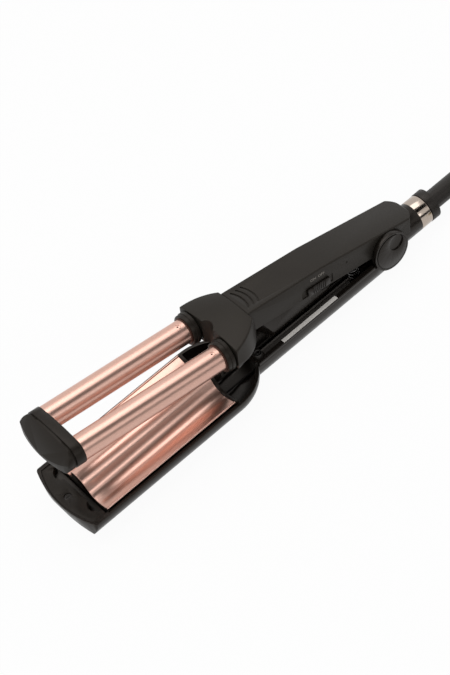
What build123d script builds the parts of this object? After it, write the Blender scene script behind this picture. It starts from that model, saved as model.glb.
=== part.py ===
"""Hair waver: two heated barrels on an upper arm, hinged to a lower arm that holds a wave plate.

Frame: x = 0 on the hinge, -X along the arms to the tip, +X along the cord, z = 0 the surface it rests on.
The upper arm is drawn as it lies when the jaw is closed, on planes that are turned open about the hinge.
"""

import os
from math import acos, atan2, cos, hypot, pi, radians, sin, tan

from build123d import *

os.makedirs("parts", exist_ok=True)

# ---------------------------------------- driving dimensions, mm
# Hinge
hinge_z = 22.3
open_angle = 9.61
pin_radius = 3.0
pin_clearance = 0.06
ear_radius = 15.5
far_ear_radius = 11.0
ear_inner_y = 14.3
boss_radius = 6.0
running_gap = 0.3
seat_gap = 0.2
press_gap = 0.05
thread_gap = 0.05
pin_end_gap = 0.2
overshoot = 1.0
wall_root = 0.5

# Lower arm: tray under the wave plate, handle behind it
tray_half_width = 34.6
tray_keel_half_width = 8.0
tray_bilge_height = 19.6
tray_rim_z = 20.4
tray_dome_x = -157.5
tray_wall = 2.4
tip_apex_x = -293.0
tip_corner_x = -287.0
tip_corner_y = 34.1
tip_corner_radius = 4.0
tip_flare_length = 4.0
bow_length = 26.0
bow_height = 17.0
floor_thickness = 2.2
handle_half_width = 18.0
handle_keel_half_width = 3.0
handle_bilge_height = 16.5
handle_wall = 2.4
ledge_z = 20.5
cover_thickness = 2.2
cover_skirt_depth = 4.0
cover_skirt_thickness = 1.1
cover_front_x = -127.0
cover_bridge_rear_x = -118.6
cover_rear_x = -17.0
neck_wall_x = -126.4
neck_wall_thickness = 2.4
duct_half_width = 8.0
duct_top_z = 12.0

# Tail, collar and the ring round the cord's swivel
tail_z = 15.15
collar_radius = 11.6
collar_front_x = 9.0
collar_rear_x = 35.2
ring_length = 10.3
ring_seat_radius = 9.6
ring_chamfer = 0.4
tail_cavity_radius = 9.0
tail_cavity_front_x = 8.0
tail_cavity_rear_x = 20.0
stem_radius = 6.0
stem_clearance = 0.3
flange_radius = 8.6
flange_thickness = 2.6
boot_band_radius = 11.8
boot_band_length = 7.0
boot_radius = 7.46
boot_straight_length = 32.0
boot_taper_length = 20.5
boot_end_radius = 4.2
boot_groove_pitch = 4.4
boot_groove_width = 1.5
boot_groove_depth = 1.1
boot_groove_count = 6
contact_radius = 8.8
contact_length = 5.6

# Barrels
barrel_radius = 9.0
barrel_wall = 1.2
barrel_pitch = 37.0
barrel_z = 28.45
barrel_root_x = -157.4
barrel_tip_x = -273.5
punch_hole_x = -163.4
punch_hole_radius = 1.2
punch_hole_angle = 12.0

# Wave plate
plate_rear_x = -160.4
plate_half_width = 31.3
plate_edge_z = 22.65
plate_thickness = 1.6
plate_gap = 1.0
ridge_z = 22.5
heat_bar_gap = 0.1
heat_bar_bottom_z = 22.2
heat_bar_length = 92.0
heater_width = 11.0
heater_thickness = 2.4
heater_length = 74.0
clamp_width = 12.0
clamp_sheet = 0.8
clamp_length = 60.0
clamp_foot_half_width = 7.0
heater_middle_x = -217.0
bracket_thickness = 2.4
bracket_gap = 0.2
hump_half_width = 5.0
hump_depth = 8.6
hump_drop = 0.4
hump_notch_gap = 1.8
bracket_duct_half_width = 9.0
bracket_duct_top_z = 14.0
fuse_radius = 2.0
fuse_length = 11.0
lead_radius = 0.8
lead_y = 6.3
lead_z = 4.2
lead_end_y = 4.2
lead_bend = 4.0
lead_floor_x = -12.0
lead_overlap = 3.0

# Tip block
block_top_z = 20.0
block_bottom_z = 14.0
block_rear_gap = 1.2
block_arm_y = 27.0
plate_wall_thickness = 2.0
block_inner_x = -278.0
block_corner_x = -285.0
block_half_width = 31.3
block_rear_x = -275.5
block_apex_x = -292.0
scallop_y = 19.5
scallop_half_width = 7.0
scallop_depth_x = -281.4
tip_screw_x = -284.9

# Screws
screw_radius = 1.5
screw_head_radius = 2.6
screw_head_height = 1.6
screw_slot_length = 3.1
screw_recess = 0.6
screw_gap = 0.15
screw_length = 9.0
thread_end_gap = 0.5
cover_screw_x = -121.4
cover_screw_y = 9.7
post_radius = 3.4
post_foot_z = 5.6
post_sink = 0.6

# Upper arm handle shell
shell_front_half_width = 14.6
shell_rear_half_width = 13.8
shell_rear_x = 28.4
shell_corner_x = 21.3
shell_front_top_z = 45.1
shell_mid_x = -60.0
shell_mid_top_z = 43.9
shell_rear_top_z = 36.3
shell_rear_bottom_z = 24.0
shell_hinge_radius = 7.4
joint_top_x = -126.5
joint_bottom_x = -121.7
shell_top_wall = 2.2
shell_side_wall = 1.5
shell_rear_wall = 7.6
shell_rear_wall_bottom_z = 32.2
shell_front_bottom_z = 27.3
shell_hinge_bottom_z = 23.0
shell_hinge_front_x = -14.7
shell_rear_radius = 2.0
shell_edge_radius = 1.2
shell_overlap = 10.0
groove_first_x = -118.0
groove_step = 4.35
groove_count = 3
groove_width = 1.6
groove_depth = 0.9
groove_bow = 2.2
groove_half_length = 9.3
spring_x = -24.0
spring_radius = 4.2
spring_wire_radius = 0.6
spring_turns = 8
spring_seat_z = 31.6
spring_floor_z = 5.0
spring_post_radius = 3.2
spring_post_length = 4.5
spring_seat_radius = 5.4

# Inner cover under the handle shell; its keel is level when the jaw is open
belly_half_width = 12.0
belly_keel_half_width = 8.0
belly_bilge_height = 7.5
belly_keel_open_z = 23.7
belly_wall = 1.8
belly_lip_z = 30.0
belly_front_top_x = -123.0
belly_front_bottom_x = -107.5
belly_front_bottom_z = 5.0
belly_rear_x = -55.0
belly_corner = 5.0
belly_screw_y = 4.5
belly_boss_radius = 4.4
belly_boss_height = 3.0
belly_hollow_rise = 12.0
belly_screw_x = (-80.0, -62.0)

# Head
head_rear_x = -124.0
head_mid_x = -139.0
head_front_x = -150.5
head_front_half_width = 31.2
head_mid_half_width = 29.4
head_rear_half_width = 15.2
head_front_crease_y = 31.0
head_mid_crease_y = 27.6
head_rear_crease_y = 14.4
head_front_crease_z = 38.2
head_mid_crease_z = 40.6
head_rear_crease_z = 44.4
head_front_top_z = 41.3
head_mid_top_z = 44.4
head_bottom_z = 21.6
head_wall = 2.2
head_corner = 1.6
head_least_corner = 0.6
head_rear_reach = 2.0
socket_floor_x = -141.0
head_lip_z = 24.3
head_nest_clearance = 0.9
notch_half_width = 7.2
notch_rear_x = -147.2
socket_radius = 10.0
collar_ring_radius = 11.4
collar_ring_length = 5.9
collar_tube_radius = 9.8
collar_tube_length = 9.0
collar_web_thickness = 1.0
lead_bore_radius = 4.0
spigot_clearance = 0.15
spigot_length = 9.0
base_thickness = 1.8
base_gap = 0.3

# Heaters in the barrels
spreader_clearance = 0.2
spreader_length = 88.0
spreader_middle_x = -218.0
barrel_heater_width = 11.0
barrel_heater_thickness = 2.6
barrel_heater_length = 76.0

# End cap
cap_flange_length = 7.2
cap_lobe_radius = 9.6
cap_apex_z = 39.2
cap_bottom_z = 21.0
cap_groove_length = 1.6
cap_groove_depth = 1.0
cap_nose_length = 9.3
cap_nose_inset = 0.3
cap_ridge_radius = 3.0
cap_corner_x = -287.6
cap_corner_y = 28.6
cap_front_foot_z = 23.2
cap_ridge_z = 38.1
cap_spigot_length = 9.0
cap_spigot_wall = 1.6
cap_gap = 0.3
cap_step_gap = 0.4

# Slide switch in the near side of the handle
switch_front_x = -79.7
switch_rear_x = -51.6
switch_z = 29.7
switch_height = 6.8
switch_pocket_depth = 0.7
slider_length = 20.0
slider_travel = 4.0
slider_proud = 1.3
slider_gap = 0.3
slider_grip_pitch = 1.7
slider_grip_count = 7
slider_grip_depth = 0.5
stem_length = 4.0
stem_height = 3.0
stem_reach = 3.0
switch_body_length = 22.0
switch_body_height = 7.2
switch_body_depth = 7.0
switch_floor_depth = 1.02
switch_floor_wall = 1.0
slider_end_gap = 3.4
slider_corner = 1.0

# Circuit board
board_front_x = -118.0
board_rear_x = -87.5
board_half_width = 11.4
board_thickness = 1.6
board_blocks = [(-112, 4, 8, 10, 7), (-101, -5, 9, 8, 5), (-92, 5, 6, 7, 3)]
capacitor_place = (-101, 6)
capacitor_radius = 3.2
capacitor_height = 8.5

# Lock knob and pin cap, one in each ear
knob_radius = 13.5
pin_cap_radius = 9.0
knob_proud = 0.34
knob_depth = 2.0
knob_gap = 0.3
knob_hub_radius = 5.0
knob_key_radius = 4.9
knob_key_y = 12.9
knob_scoop_radius = 6.5
knob_scoop_depth = 1.1
knob_scoop_offset = 5.2
disc_groove_inset = 2.5
disc_groove_width = 0.6

# Blank foil strip on the near ledge
strip_front_x = -103.5
strip_rear_x = -52.7
strip_width = 3.3
strip_thickness = 0.2
strip_edge_margin = 0.2

# Mains cord, its coil and plug
cord_radius = 3.5
cord_turn_gap = 0.3
coil_outer_turn_radius = 50.0
coil_turns_per_layer = 3
coil_layers = 2
coil_center_x = 200.0
cord_coil_y = 31.5
bend_share = 0.45
plug_width = 35.3
plug_height = 13.7
plug_length = 24.0
plug_relief_length = 22.0
plug_relief_radius = 5.0
plug_edge_radius = 3.0
plug_rim_radius = 2.0
plug_shoulder = 8.0
plug_neck_half_width = 9.0
plug_entry_x = 126.0
plug_y = -54.5
plug_pin_radius = 2.0
plug_pin_tip_radius = 1.0
plug_pin_length = 19.0
plug_pin_spacing = 18.6

# ---------------------------------------- sizes that follow from the ones above
hinge_point = Location((0, 0, hinge_z))
arm_open = hinge_point * Location((0, 0, 0), (0, open_angle, 0)) * hinge_point.inverse()
lean = radians(open_angle)
arm_up = Axis((0, 0, 0), (sin(lean), 0, cos(lean)))

valley_radius = barrel_radius + plate_gap
ridge_radius = hypot(barrel_pitch / 2, barrel_z - ridge_z) - valley_radius
ridge_turn = atan2(ridge_z - barrel_z, -barrel_pitch / 2)
edge_reach = hypot(plate_half_width - barrel_pitch / 2, plate_edge_z - barrel_z)
edge_bearing = atan2(plate_edge_z - barrel_z, plate_half_width - barrel_pitch / 2)
edge_turn = edge_bearing - acos(valley_radius / edge_reach)
plate_tip_x = barrel_tip_x
bracket_x = plate_rear_x + bracket_gap
hump_rear_x = notch_rear_x - hump_notch_gap
fuse_front_x = heater_middle_x + heater_length / 2 - fuse_length / 2

tray_inner_half_width = tray_half_width - tray_wall
handle_inner_half_width = handle_half_width - handle_wall
cover_opening_half_width = handle_inner_half_width - seat_gap - cover_skirt_thickness
handle_top_z = ledge_z - cover_thickness
handle_inner_bilge = handle_bilge_height - floor_thickness
tray_outer = (tray_half_width, tray_keel_half_width, 0, tray_bilge_height, tray_rim_z)
tray_inner = (
    tray_inner_half_width,
    tray_keel_half_width,
    floor_thickness,
    tray_bilge_height - floor_thickness,
    tray_rim_z + overshoot,
)
handle_outer = (handle_half_width, handle_keel_half_width, 0, handle_bilge_height, handle_top_z)
handle_inner = (
    handle_inner_half_width,
    handle_keel_half_width,
    floor_thickness,
    handle_inner_bilge,
    ledge_z + overshoot,
)
cover_screw_places = [(cover_screw_x, cover_screw_y), (cover_screw_x, -cover_screw_y)]
tip_wall_x = block_rear_x + block_rear_gap
tip_side_x = tip_corner_x + tip_flare_length
beyond_tray = tray_half_width + overshoot
tip_screw_seat_z = block_top_z - screw_head_height - screw_recess

ear_outer_y = handle_half_width
disc_seat_y = ear_outer_y + knob_proud - knob_depth
tail_end_x = collar_rear_x + ring_length
flange_rear_x = tail_cavity_rear_x - running_gap
contact_rear_x = flange_rear_x - flange_thickness - running_gap
band_x = tail_end_x + running_gap
boot_x = band_x + boot_band_length
taper_x = boot_x + boot_straight_length
boot_end_x = taper_x + boot_taper_length

joint_height = shell_front_top_z - shell_front_bottom_z
joint_slope = (joint_top_x - joint_bottom_x) / joint_height
belly_post_z = belly_keel_open_z + belly_wall + belly_boss_height
slider_x = switch_rear_x - slider_end_gap - slider_length / 2
slot_middle_x = slider_x - slider_travel / 2
switch_floor_y = shell_front_half_width - switch_floor_depth
slider_y = switch_floor_y + press_gap
switch_body_front_y = switch_floor_y - switch_floor_wall
switch_body_rear_y = switch_body_front_y - switch_body_depth

socket_depth = socket_floor_x - head_front_x
barrel_places = [(barrel_pitch / 2, barrel_z), (-barrel_pitch / 2, barrel_z)]
barrel_seat_x = barrel_root_x + collar_ring_length - collar_web_thickness
spigot_radius = barrel_radius - barrel_wall - spigot_clearance
spigot_reach = spigot_length + collar_ring_length - collar_web_thickness
cap_rear_x = barrel_tip_x - cap_gap

cord_turn_pitch = 2 * cord_radius + cord_turn_gap
coil_inner_turn_radius = coil_outer_turn_radius - coil_turns_per_layer * cord_turn_pitch
coil_height = coil_layers * cord_turn_pitch
coil_top_z = cord_radius + (coil_layers - 1) * cord_turn_pitch
coil_center_y = cord_coil_y - coil_outer_turn_radius
cord_route = [
    (boot_end_x + running_gap, 0, tail_z),
    (127, 0.8, 13.8),
    (152, 12, 6.2),
    (174, 29.5, 3.6),
    (coil_center_x, cord_coil_y, cord_radius),
]
tail_route = [
    (coil_center_x, coil_center_y - coil_outer_turn_radius, coil_top_z),
    (183, -68.5, 10.2),
    (165, -65.5, 8.8),
    (146, -56.0, 7.2),
    (plug_entry_x, plug_y, plug_height / 2),
]


# ---------------------------------------- places
def on_arm(plane):
    """A plane given as the upper arm lies closed, turned with the arm to its open place."""
    return Plane(arm_open * plane.location)


def arm_point(x, z):
    """The x and z, with the jaw open, of a point given as the upper arm lies closed."""
    place = (arm_open * Location((x, 0, z))).position
    return place.X, place.Z


def shell_top_z(x):
    """Height of the handle shell's top, closed: nearly level in front, then falling to the rear."""
    if x < shell_mid_x:
        share = (x - shell_mid_x) / (joint_top_x - shell_mid_x)
        return shell_mid_top_z + share * (shell_front_top_z - shell_mid_top_z)
    share = (x - shell_mid_x) / (shell_rear_x - shell_mid_x)
    return shell_mid_top_z + share * (shell_rear_top_z - shell_mid_top_z)


def shell_half_width(x):
    share = (x - joint_top_x) / (shell_rear_x - joint_top_x)
    return shell_front_half_width + share * (shell_rear_half_width - shell_front_half_width)


def shell_roof_z(x):
    """Height, with the jaw open, at which a post that stands at x ends inside the shell's roof."""
    roof_z = shell_top_z(x) - shell_top_wall
    closed_x = (x - (roof_z - hinge_z) * sin(lean)) / cos(lean)
    return arm_point(closed_x, shell_top_z(closed_x) - shell_top_wall)[1] + post_sink


def joint_x(z):
    """Where the leaning joint between handle and head lies at height z, closed."""
    return joint_bottom_x + joint_slope * (z - shell_front_bottom_z)


def boot_radius_at(x):
    share = max(0, x - taper_x) / boot_taper_length
    return boot_radius + share * (boot_end_radius - boot_radius)


def around(center, radius, angle):
    return center[0] + radius * cos(angle), center[1] + radius * sin(angle)


# ---------------------------------------- shared shapes
def boat_section(plane, half_width, keel_half_width, keel_z, bilge_height, top_z, half=False):
    """A boat-shaped section: flat keel, elliptical bilges, upright sides; or its +Y half alone."""
    bilge_width = half_width - keel_half_width
    bilge_z = keel_z + bilge_height
    with BuildSketch(plane) as section:
        with BuildLine():
            EllipticalCenterArc((keel_half_width, bilge_z), bilge_width, bilge_height, 270, arc_size=90)
            Polyline((half_width, bilge_z), (half_width, top_z), (0, top_z))
            if half:
                Polyline((0, top_z), (0, keel_z), (keel_half_width, keel_z))
            else:
                Polyline((0, top_z), (-half_width, top_z), (-half_width, bilge_z))
                far_bilge = (-keel_half_width, bilge_z)
                EllipticalCenterArc(far_bilge, bilge_width, bilge_height, 180, arc_size=90)
                Line((-keel_half_width, keel_z), (keel_half_width, keel_z))
        make_face()
    return section.sketch


def hull(section, front_x, dome_x, mode):
    """A boat-shaped bar from front_x to dome_x; its rear end is turned about the upright line there."""
    extrude(boat_section(Plane.YZ.offset(front_x), *section), amount=dome_x - front_x, mode=mode)
    half = boat_section(Plane.YZ.offset(dome_x), *section, half=True)
    revolve(half, axis=Axis((dome_x, 0, 0), (0, 0, -1)), revolution_arc=180, mode=mode)


def under_wave(plane, drop):
    """All that lies below the wave plate's upper line, or below that line lowered by drop."""
    near = valley_radius + drop
    ridge_reach = ridge_radius - drop
    halves = []
    for side in (1, -1):
        valley = (barrel_pitch / 2, barrel_z)
        points = [
            around((0, ridge_z), ridge_reach, ridge_turn + pi),
            around(valley, near, -pi / 2),
            around(valley, near, edge_turn),
            around((plate_half_width, plate_edge_z), drop, edge_turn),
        ]
        halves.append([(side * y, z) for y, z in points])
    right, left = halves
    with BuildSketch(plane) as below:
        with BuildLine():
            ThreePointArc(left[0], (0, ridge_z + ridge_reach), right[0])
            ThreePointArc(*right[:3])
            ThreePointArc(*left[:3])
            right_foot = (right[3][0], -overshoot)
            left_foot = (left[3][0], -overshoot)
            Polyline(right[2], right[3], right_foot, left_foot, left[3], left[2])
        make_face()
    return below.sketch


def plate_wall(plane, drop, grow):
    """A cross wall that fills the tray's hollow up to the wave plate's line."""
    with BuildSketch(plane) as wall:
        add(
            boat_section(
                Plane.XY,
                tray_inner_half_width + grow,
                tray_keel_half_width,
                floor_thickness - grow,
                tray_bilge_height - floor_thickness + grow,
                ridge_z + 2 * ridge_radius,
            )
        )
        add(under_wave(Plane.XY, drop), mode=Mode.INTERSECT)
    return wall.sketch


def tip_block_outline(plane, grow):
    """The tip block from above: bowed front, straight sides, set back in the middle of its rear edge."""
    with BuildSketch(plane) as outline:
        with BuildLine():
            ThreePointArc(
                (block_corner_x, block_half_width + grow),
                (block_apex_x - grow, 0),
                (block_corner_x, -block_half_width - grow),
            )
            Polyline(
                (block_corner_x, -block_half_width - grow),
                (block_rear_x + grow, -block_half_width - grow),
                (block_rear_x + grow, -block_arm_y),
                (block_inner_x, -block_arm_y),
                (block_inner_x, block_arm_y),
                (block_rear_x + grow, block_arm_y),
                (block_rear_x + grow, block_half_width + grow),
                (block_corner_x, block_half_width + grow),
            )
        make_face()
    return outline.sketch


def shell_plan(inset, rear_x, rounded):
    """The handle shell from above, narrowing a little towards the cord; its rear end bowed if rounded."""
    front_x = joint_top_x - shell_overlap
    front_half = shell_half_width(front_x) - inset
    rear_half = shell_half_width(rear_x) - inset
    with BuildSketch(on_arm(Plane.XY)) as plan:
        with BuildLine():
            Polyline(
                (rear_x, rear_half),
                (front_x, front_half),
                (front_x, -front_half),
                (rear_x, -rear_half),
            )
            if rounded:
                ThreePointArc((rear_x, rear_half), (shell_rear_x, 0), (rear_x, -rear_half))
            else:
                Line((rear_x, rear_half), (rear_x, -rear_half))
        make_face()
    return plan.sketch


def belly_side_view(inset, rise):
    """The inner cover from the side, inset for its hollow, its upper edge raised by rise."""
    front_lean = (belly_front_top_x - belly_front_bottom_x) / (belly_lip_z - belly_front_bottom_z)
    front_top = arm_point(belly_front_top_x + rise * front_lean, belly_lip_z + rise)
    front_bottom = arm_point(belly_front_bottom_x, belly_front_bottom_z)
    rear_top = arm_point(belly_rear_x, belly_lip_z + rise)
    with BuildSketch(Plane.XZ) as view:
        with BuildLine():
            Polyline(
                front_top,
                (front_bottom[0], belly_keel_open_z),
                (rear_top[0], belly_keel_open_z),
                rear_top,
                close=True,
            )
        make_face()
        if inset:
            offset(amount=-inset, kind=Kind.INTERSECTION)
    return view.sketch


def head_section(x, half_width, crease_y, crease_z, top_z, inset, bottom_z):
    """The head from the front at x: flat below, leaning sides, a crease, and a crowned top."""
    reach = half_width - inset
    crease = (crease_y - inset, crease_z - inset)
    with BuildSketch(on_arm(Plane.YZ.offset(x))) as section:
        with BuildLine():
            Polyline((-crease[0], crease[1]), (-reach, bottom_z), (reach, bottom_z), crease)
            ThreePointArc(crease, (0, top_z - inset), (-crease[0], crease[1]))
        outline = make_face()
        upper = outline.vertices().group_by(Axis.Y)[-1]
        fillet(upper, max(head_corner - inset, head_least_corner))
    return section.sketch


head_end_x = head_rear_x + head_rear_reach


def head_body(inset, bottom_z):
    """The head, also inset for its hollow; it runs on a little past its joint with the handle."""
    sections = [
        (head_front_x, head_front_half_width, head_front_crease_y, head_front_crease_z, head_front_top_z),
        (head_mid_x, head_mid_half_width, head_mid_crease_y, head_mid_crease_z, head_mid_top_z),
        (head_end_x, head_rear_half_width, head_rear_crease_y, head_rear_crease_z, shell_front_top_z),
    ]
    loft([head_section(*section, inset, bottom_z) for section in sections])


def head_front_slab(shift):
    """A square that clears the head's front, from which the solid rim round its sockets is extruded."""
    with BuildSketch(on_arm(Plane.YZ.offset(head_front_x - overshoot + shift))) as slab:
        Rectangle(4 * tray_half_width, 4 * tray_half_width)
    return slab.sketch


def cap_outline(x, inset, flat):
    """The end cap from the front: a lobe round each barrel, bridged by a low arch; flat below if flat."""
    shoulder_z = barrel_z + cap_lobe_radius - inset
    with BuildSketch(on_arm(Plane.YZ.offset(x))) as outline:
        with BuildLine():
            ThreePointArc(
                (-barrel_pitch / 2, shoulder_z),
                (0, cap_apex_z - inset),
                (barrel_pitch / 2, shoulder_z),
            )
            Polyline(
                (barrel_pitch / 2, shoulder_z),
                (barrel_pitch / 2, cap_bottom_z),
                (-barrel_pitch / 2, cap_bottom_z),
                (-barrel_pitch / 2, shoulder_z),
            )
        make_face()
        with Locations(*barrel_places):
            Circle(cap_lobe_radius - inset)
        if flat:
            with Locations((0, cap_bottom_z)):
                Rectangle(
                    2 * tray_half_width,
                    cap_lobe_radius,
                    align=(Align.CENTER, Align.MAX),
                    mode=Mode.SUBTRACT,
                )
    return outline.sketch


def disc(plane, radius):
    with BuildSketch(plane) as face:
        Circle(radius)
    return face.sketch


def screw(plane):
    """A pan-head screw with a cross slot; the plane lies under its head and looks out of its slot."""
    extrude(disc(plane, screw_head_radius), amount=screw_head_height)
    extrude(disc(plane, screw_radius), amount=-screw_length)
    with BuildSketch(plane.offset(screw_head_height)) as slot:
        Rectangle(screw_slot_length, screw_recess)
        Rectangle(screw_recess, screw_slot_length)
    extrude(slot.sketch, amount=-screw_recess, mode=Mode.SUBTRACT)


def finish(builder, name):
    builder.part.label = name
    export_step(builder.part, f"parts/{name}.step")


# ---------------------------------------- lower housing
with BuildPart() as lower_housing:
    hull(tray_outer, tip_apex_x - overshoot, tray_dome_x, Mode.ADD)
    with BuildSketch():
        with BuildLine():
            ThreePointArc((tip_corner_x, tip_corner_y), (tip_apex_x, 0), (tip_corner_x, -tip_corner_y))
            Polyline(
                (tip_corner_x, -tip_corner_y),
                (tip_side_x, -beyond_tray),
                (0, -beyond_tray),
                (0, beyond_tray),
                (tip_side_x, beyond_tray),
                (tip_corner_x, tip_corner_y),
            )
        tip_outline = make_face()
        fillet(tip_outline.vertices().group_by(Axis.X)[0], tip_corner_radius)
    extrude(amount=tray_rim_z, mode=Mode.INTERSECT)
    hull(handle_outer, tray_dome_x, 0, Mode.ADD)
    hull(tray_inner, tip_wall_x, tray_dome_x, Mode.SUBTRACT)
    hull(handle_inner, tray_dome_x, 0, Mode.SUBTRACT)
    # Wall between tray and handle, with the duct for the plate's leads
    neck_plane = Plane.YZ.offset(neck_wall_x)
    neck_section = (
        handle_inner_half_width + wall_root,
        handle_keel_half_width,
        floor_thickness - wall_root,
        handle_inner_bilge,
        handle_top_z,
    )
    extrude(boat_section(neck_plane, *neck_section), amount=neck_wall_thickness)
    with BuildSketch(neck_plane):
        with Locations((0, (floor_thickness + duct_top_z) / 2)):
            Rectangle(2 * duct_half_width, duct_top_z - floor_thickness)
    extrude(amount=neck_wall_thickness, mode=Mode.SUBTRACT)
    # Posts for the cover's screws
    with BuildSketch(Plane.XY.offset(post_foot_z)):
        with Locations(*cover_screw_places):
            Circle(post_radius)
    extrude(amount=handle_top_z - post_foot_z)
    with BuildSketch(Plane.XY.offset(post_foot_z)):
        with Locations(*cover_screw_places):
            Circle(screw_radius + thread_gap)
    extrude(amount=handle_top_z - post_foot_z, mode=Mode.SUBTRACT)
    # Seat for the cover, which also lets the dome's rim run down to the ledge
    with BuildSketch(Plane.XY.offset(handle_top_z)):
        with Locations(((cover_front_x + cover_rear_x) / 2, 0)):
            Rectangle(cover_rear_x - cover_front_x + 2 * seat_gap, 2 * (handle_half_width + seat_gap))
    extrude(amount=tray_rim_z, mode=Mode.SUBTRACT)
    # Wall that carries the wave plate's tip end
    tip_end_wall = plate_wall(Plane.YZ.offset(plate_tip_x), plate_thickness + press_gap, wall_root)
    extrude(tip_end_wall, amount=plate_wall_thickness)
    # Pocket for the tip block
    with BuildSketch(Plane.XY.offset(block_bottom_z)):
        add(tip_block_outline(Plane.XY, seat_gap))
        with Locations(((block_inner_x + tip_wall_x) / 2, 0)):
            Rectangle(tip_wall_x - block_inner_x, 2 * (block_half_width + seat_gap))
    extrude(amount=tray_rim_z, mode=Mode.SUBTRACT)
    with BuildSketch(Plane.XY.offset(tip_screw_seat_z - screw_length - thread_end_gap)):
        with Locations((tip_screw_x, 0)):
            Circle(screw_radius + thread_gap)
    extrude(amount=tray_rim_z, mode=Mode.SUBTRACT)
    # Under the tip the hull rises like a bow
    with BuildSketch(Plane.XZ):
        with BuildLine():
            EllipticalCenterArc(
                (tip_apex_x + bow_length, bow_height), bow_length, bow_height, 180, arc_size=90
            )
            Polyline(
                (tip_apex_x + bow_length, 0),
                (tip_apex_x + bow_length, -bow_height),
                (tip_apex_x - bow_length, -bow_height),
                (tip_apex_x - bow_length, bow_height),
                (tip_apex_x, bow_height),
            )
        make_face()
    extrude(amount=beyond_tray, both=True, mode=Mode.SUBTRACT)
    # Hinge ears, each with a round recess for its disc
    for side, ear_size, disc_size in ((1, far_ear_radius, pin_cap_radius), (-1, ear_radius, knob_radius)):
        with BuildSketch(Plane.XZ.offset(-side * ear_inner_y)):
            with Locations((0, hinge_z)):
                Circle(ear_size)
        extrude(amount=-side * (ear_outer_y - ear_inner_y))
        with BuildSketch(Plane.XZ.offset(-side * disc_seat_y)):
            with Locations((0, hinge_z)):
                Circle(disc_size + knob_gap)
        extrude(amount=-side * knob_depth, mode=Mode.SUBTRACT)
    with BuildSketch(Plane.XZ.offset(-ear_outer_y)):
        with Locations((0, hinge_z)):
            Circle(pin_radius + press_gap)
    extrude(amount=ear_outer_y, mode=Mode.SUBTRACT)
    with BuildSketch(Plane.XZ):
        with Locations((0, hinge_z)):
            Circle(knob_hub_radius + knob_gap)
    extrude(amount=ear_outer_y, mode=Mode.SUBTRACT)
    # Collar, ring seat and swivel bore
    with BuildSketch(Plane.YZ.offset(collar_front_x)):
        with Locations((0, tail_z)):
            Circle(collar_radius)
    extrude(amount=collar_rear_x - collar_front_x)
    with BuildSketch(Plane.YZ.offset(collar_rear_x)):
        with Locations((0, tail_z)):
            Circle(ring_seat_radius)
    extrude(amount=ring_length)
    with BuildSketch(Plane.YZ.offset(tail_cavity_front_x)):
        with Locations((0, tail_z)):
            Circle(tail_cavity_radius)
    extrude(amount=tail_cavity_rear_x - tail_cavity_front_x, mode=Mode.SUBTRACT)
    with BuildSketch(Plane.YZ.offset(tail_cavity_rear_x)):
        with Locations((0, tail_z)):
            Circle(stem_radius + stem_clearance)
    extrude(amount=tail_end_x - tail_cavity_rear_x, mode=Mode.SUBTRACT)
    # Spring seat and post on the floor
    with BuildSketch(Plane.XY.offset(floor_thickness)):
        with Locations((spring_x, 0)):
            Circle(spring_radius + spring_wire_radius)
    extrude(amount=spring_floor_z - floor_thickness)
    with BuildSketch(Plane.XY.offset(spring_floor_z)):
        with Locations((spring_x, 0)):
            Circle(spring_post_radius)
    extrude(amount=spring_post_length)
finish(lower_housing, "lower_housing")

# ---------------------------------------- lower cover, its screws and the foil strip
with BuildPart() as lower_cover:
    with BuildSketch(Plane.XY.offset(handle_top_z)):
        with Locations(((cover_front_x + cover_rear_x) / 2, 0)):
            Rectangle(cover_rear_x - cover_front_x, 2 * handle_half_width)
        with Locations((cover_bridge_rear_x, 0)):
            Rectangle(
                cover_rear_x + overshoot - cover_bridge_rear_x,
                2 * cover_opening_half_width,
                align=(Align.MIN, Align.CENTER),
                mode=Mode.SUBTRACT,
            )
    extrude(amount=cover_thickness)
    with BuildSketch(Plane.XY.offset(handle_top_z)):
        with Locations(((cover_bridge_rear_x + cover_rear_x) / 2, 0)):
            Rectangle(cover_rear_x - cover_bridge_rear_x, 2 * (handle_inner_half_width - seat_gap))
            Rectangle(cover_rear_x - cover_bridge_rear_x, 2 * cover_opening_half_width, mode=Mode.SUBTRACT)
    extrude(amount=-cover_skirt_depth)
    with Locations(*[(x, y, ledge_z) for x, y in cover_screw_places]):
        CounterBoreHole(screw_radius + screw_gap, screw_head_radius + screw_gap, screw_head_height)
finish(lower_cover, "lower_cover")

with BuildPart() as cover_screws:
    for x, y in cover_screw_places:
        screw(Plane.XY.offset(ledge_z - screw_head_height).move(Location((x, y, 0))))
finish(cover_screws, "cover_screws")

with BuildPart() as label_strip:
    with BuildSketch(Plane.XY.offset(ledge_z)):
        with Locations((strip_front_x, strip_edge_margin - handle_half_width)):
            Rectangle(strip_rear_x - strip_front_x, strip_width, align=Align.MIN)
    extrude(amount=strip_thickness)
finish(label_strip, "label_strip")

# ---------------------------------------- wave plate and what heats it
with BuildPart() as wave_plate:
    plate_end = Plane.YZ.offset(plate_tip_x)
    extrude(under_wave(plate_end, 0), amount=plate_rear_x - plate_tip_x)
    extrude(under_wave(plate_end, plate_thickness), amount=plate_rear_x - plate_tip_x, mode=Mode.SUBTRACT)
finish(wave_plate, "wave_plate")

with BuildPart() as plate_heat_bar:
    with BuildSketch(Plane.YZ.offset(heater_middle_x - heat_bar_length / 2)):
        with Locations((0, ridge_z)):
            Circle(ridge_radius - plate_thickness - heat_bar_gap)
        with Locations((0, heat_bar_bottom_z)):
            Rectangle(
                3 * ridge_radius,
                2 * ridge_radius,
                align=(Align.CENTER, Align.MAX),
                mode=Mode.SUBTRACT,
            )
    extrude(amount=heat_bar_length)
finish(plate_heat_bar, "plate_heat_bar")

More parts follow.
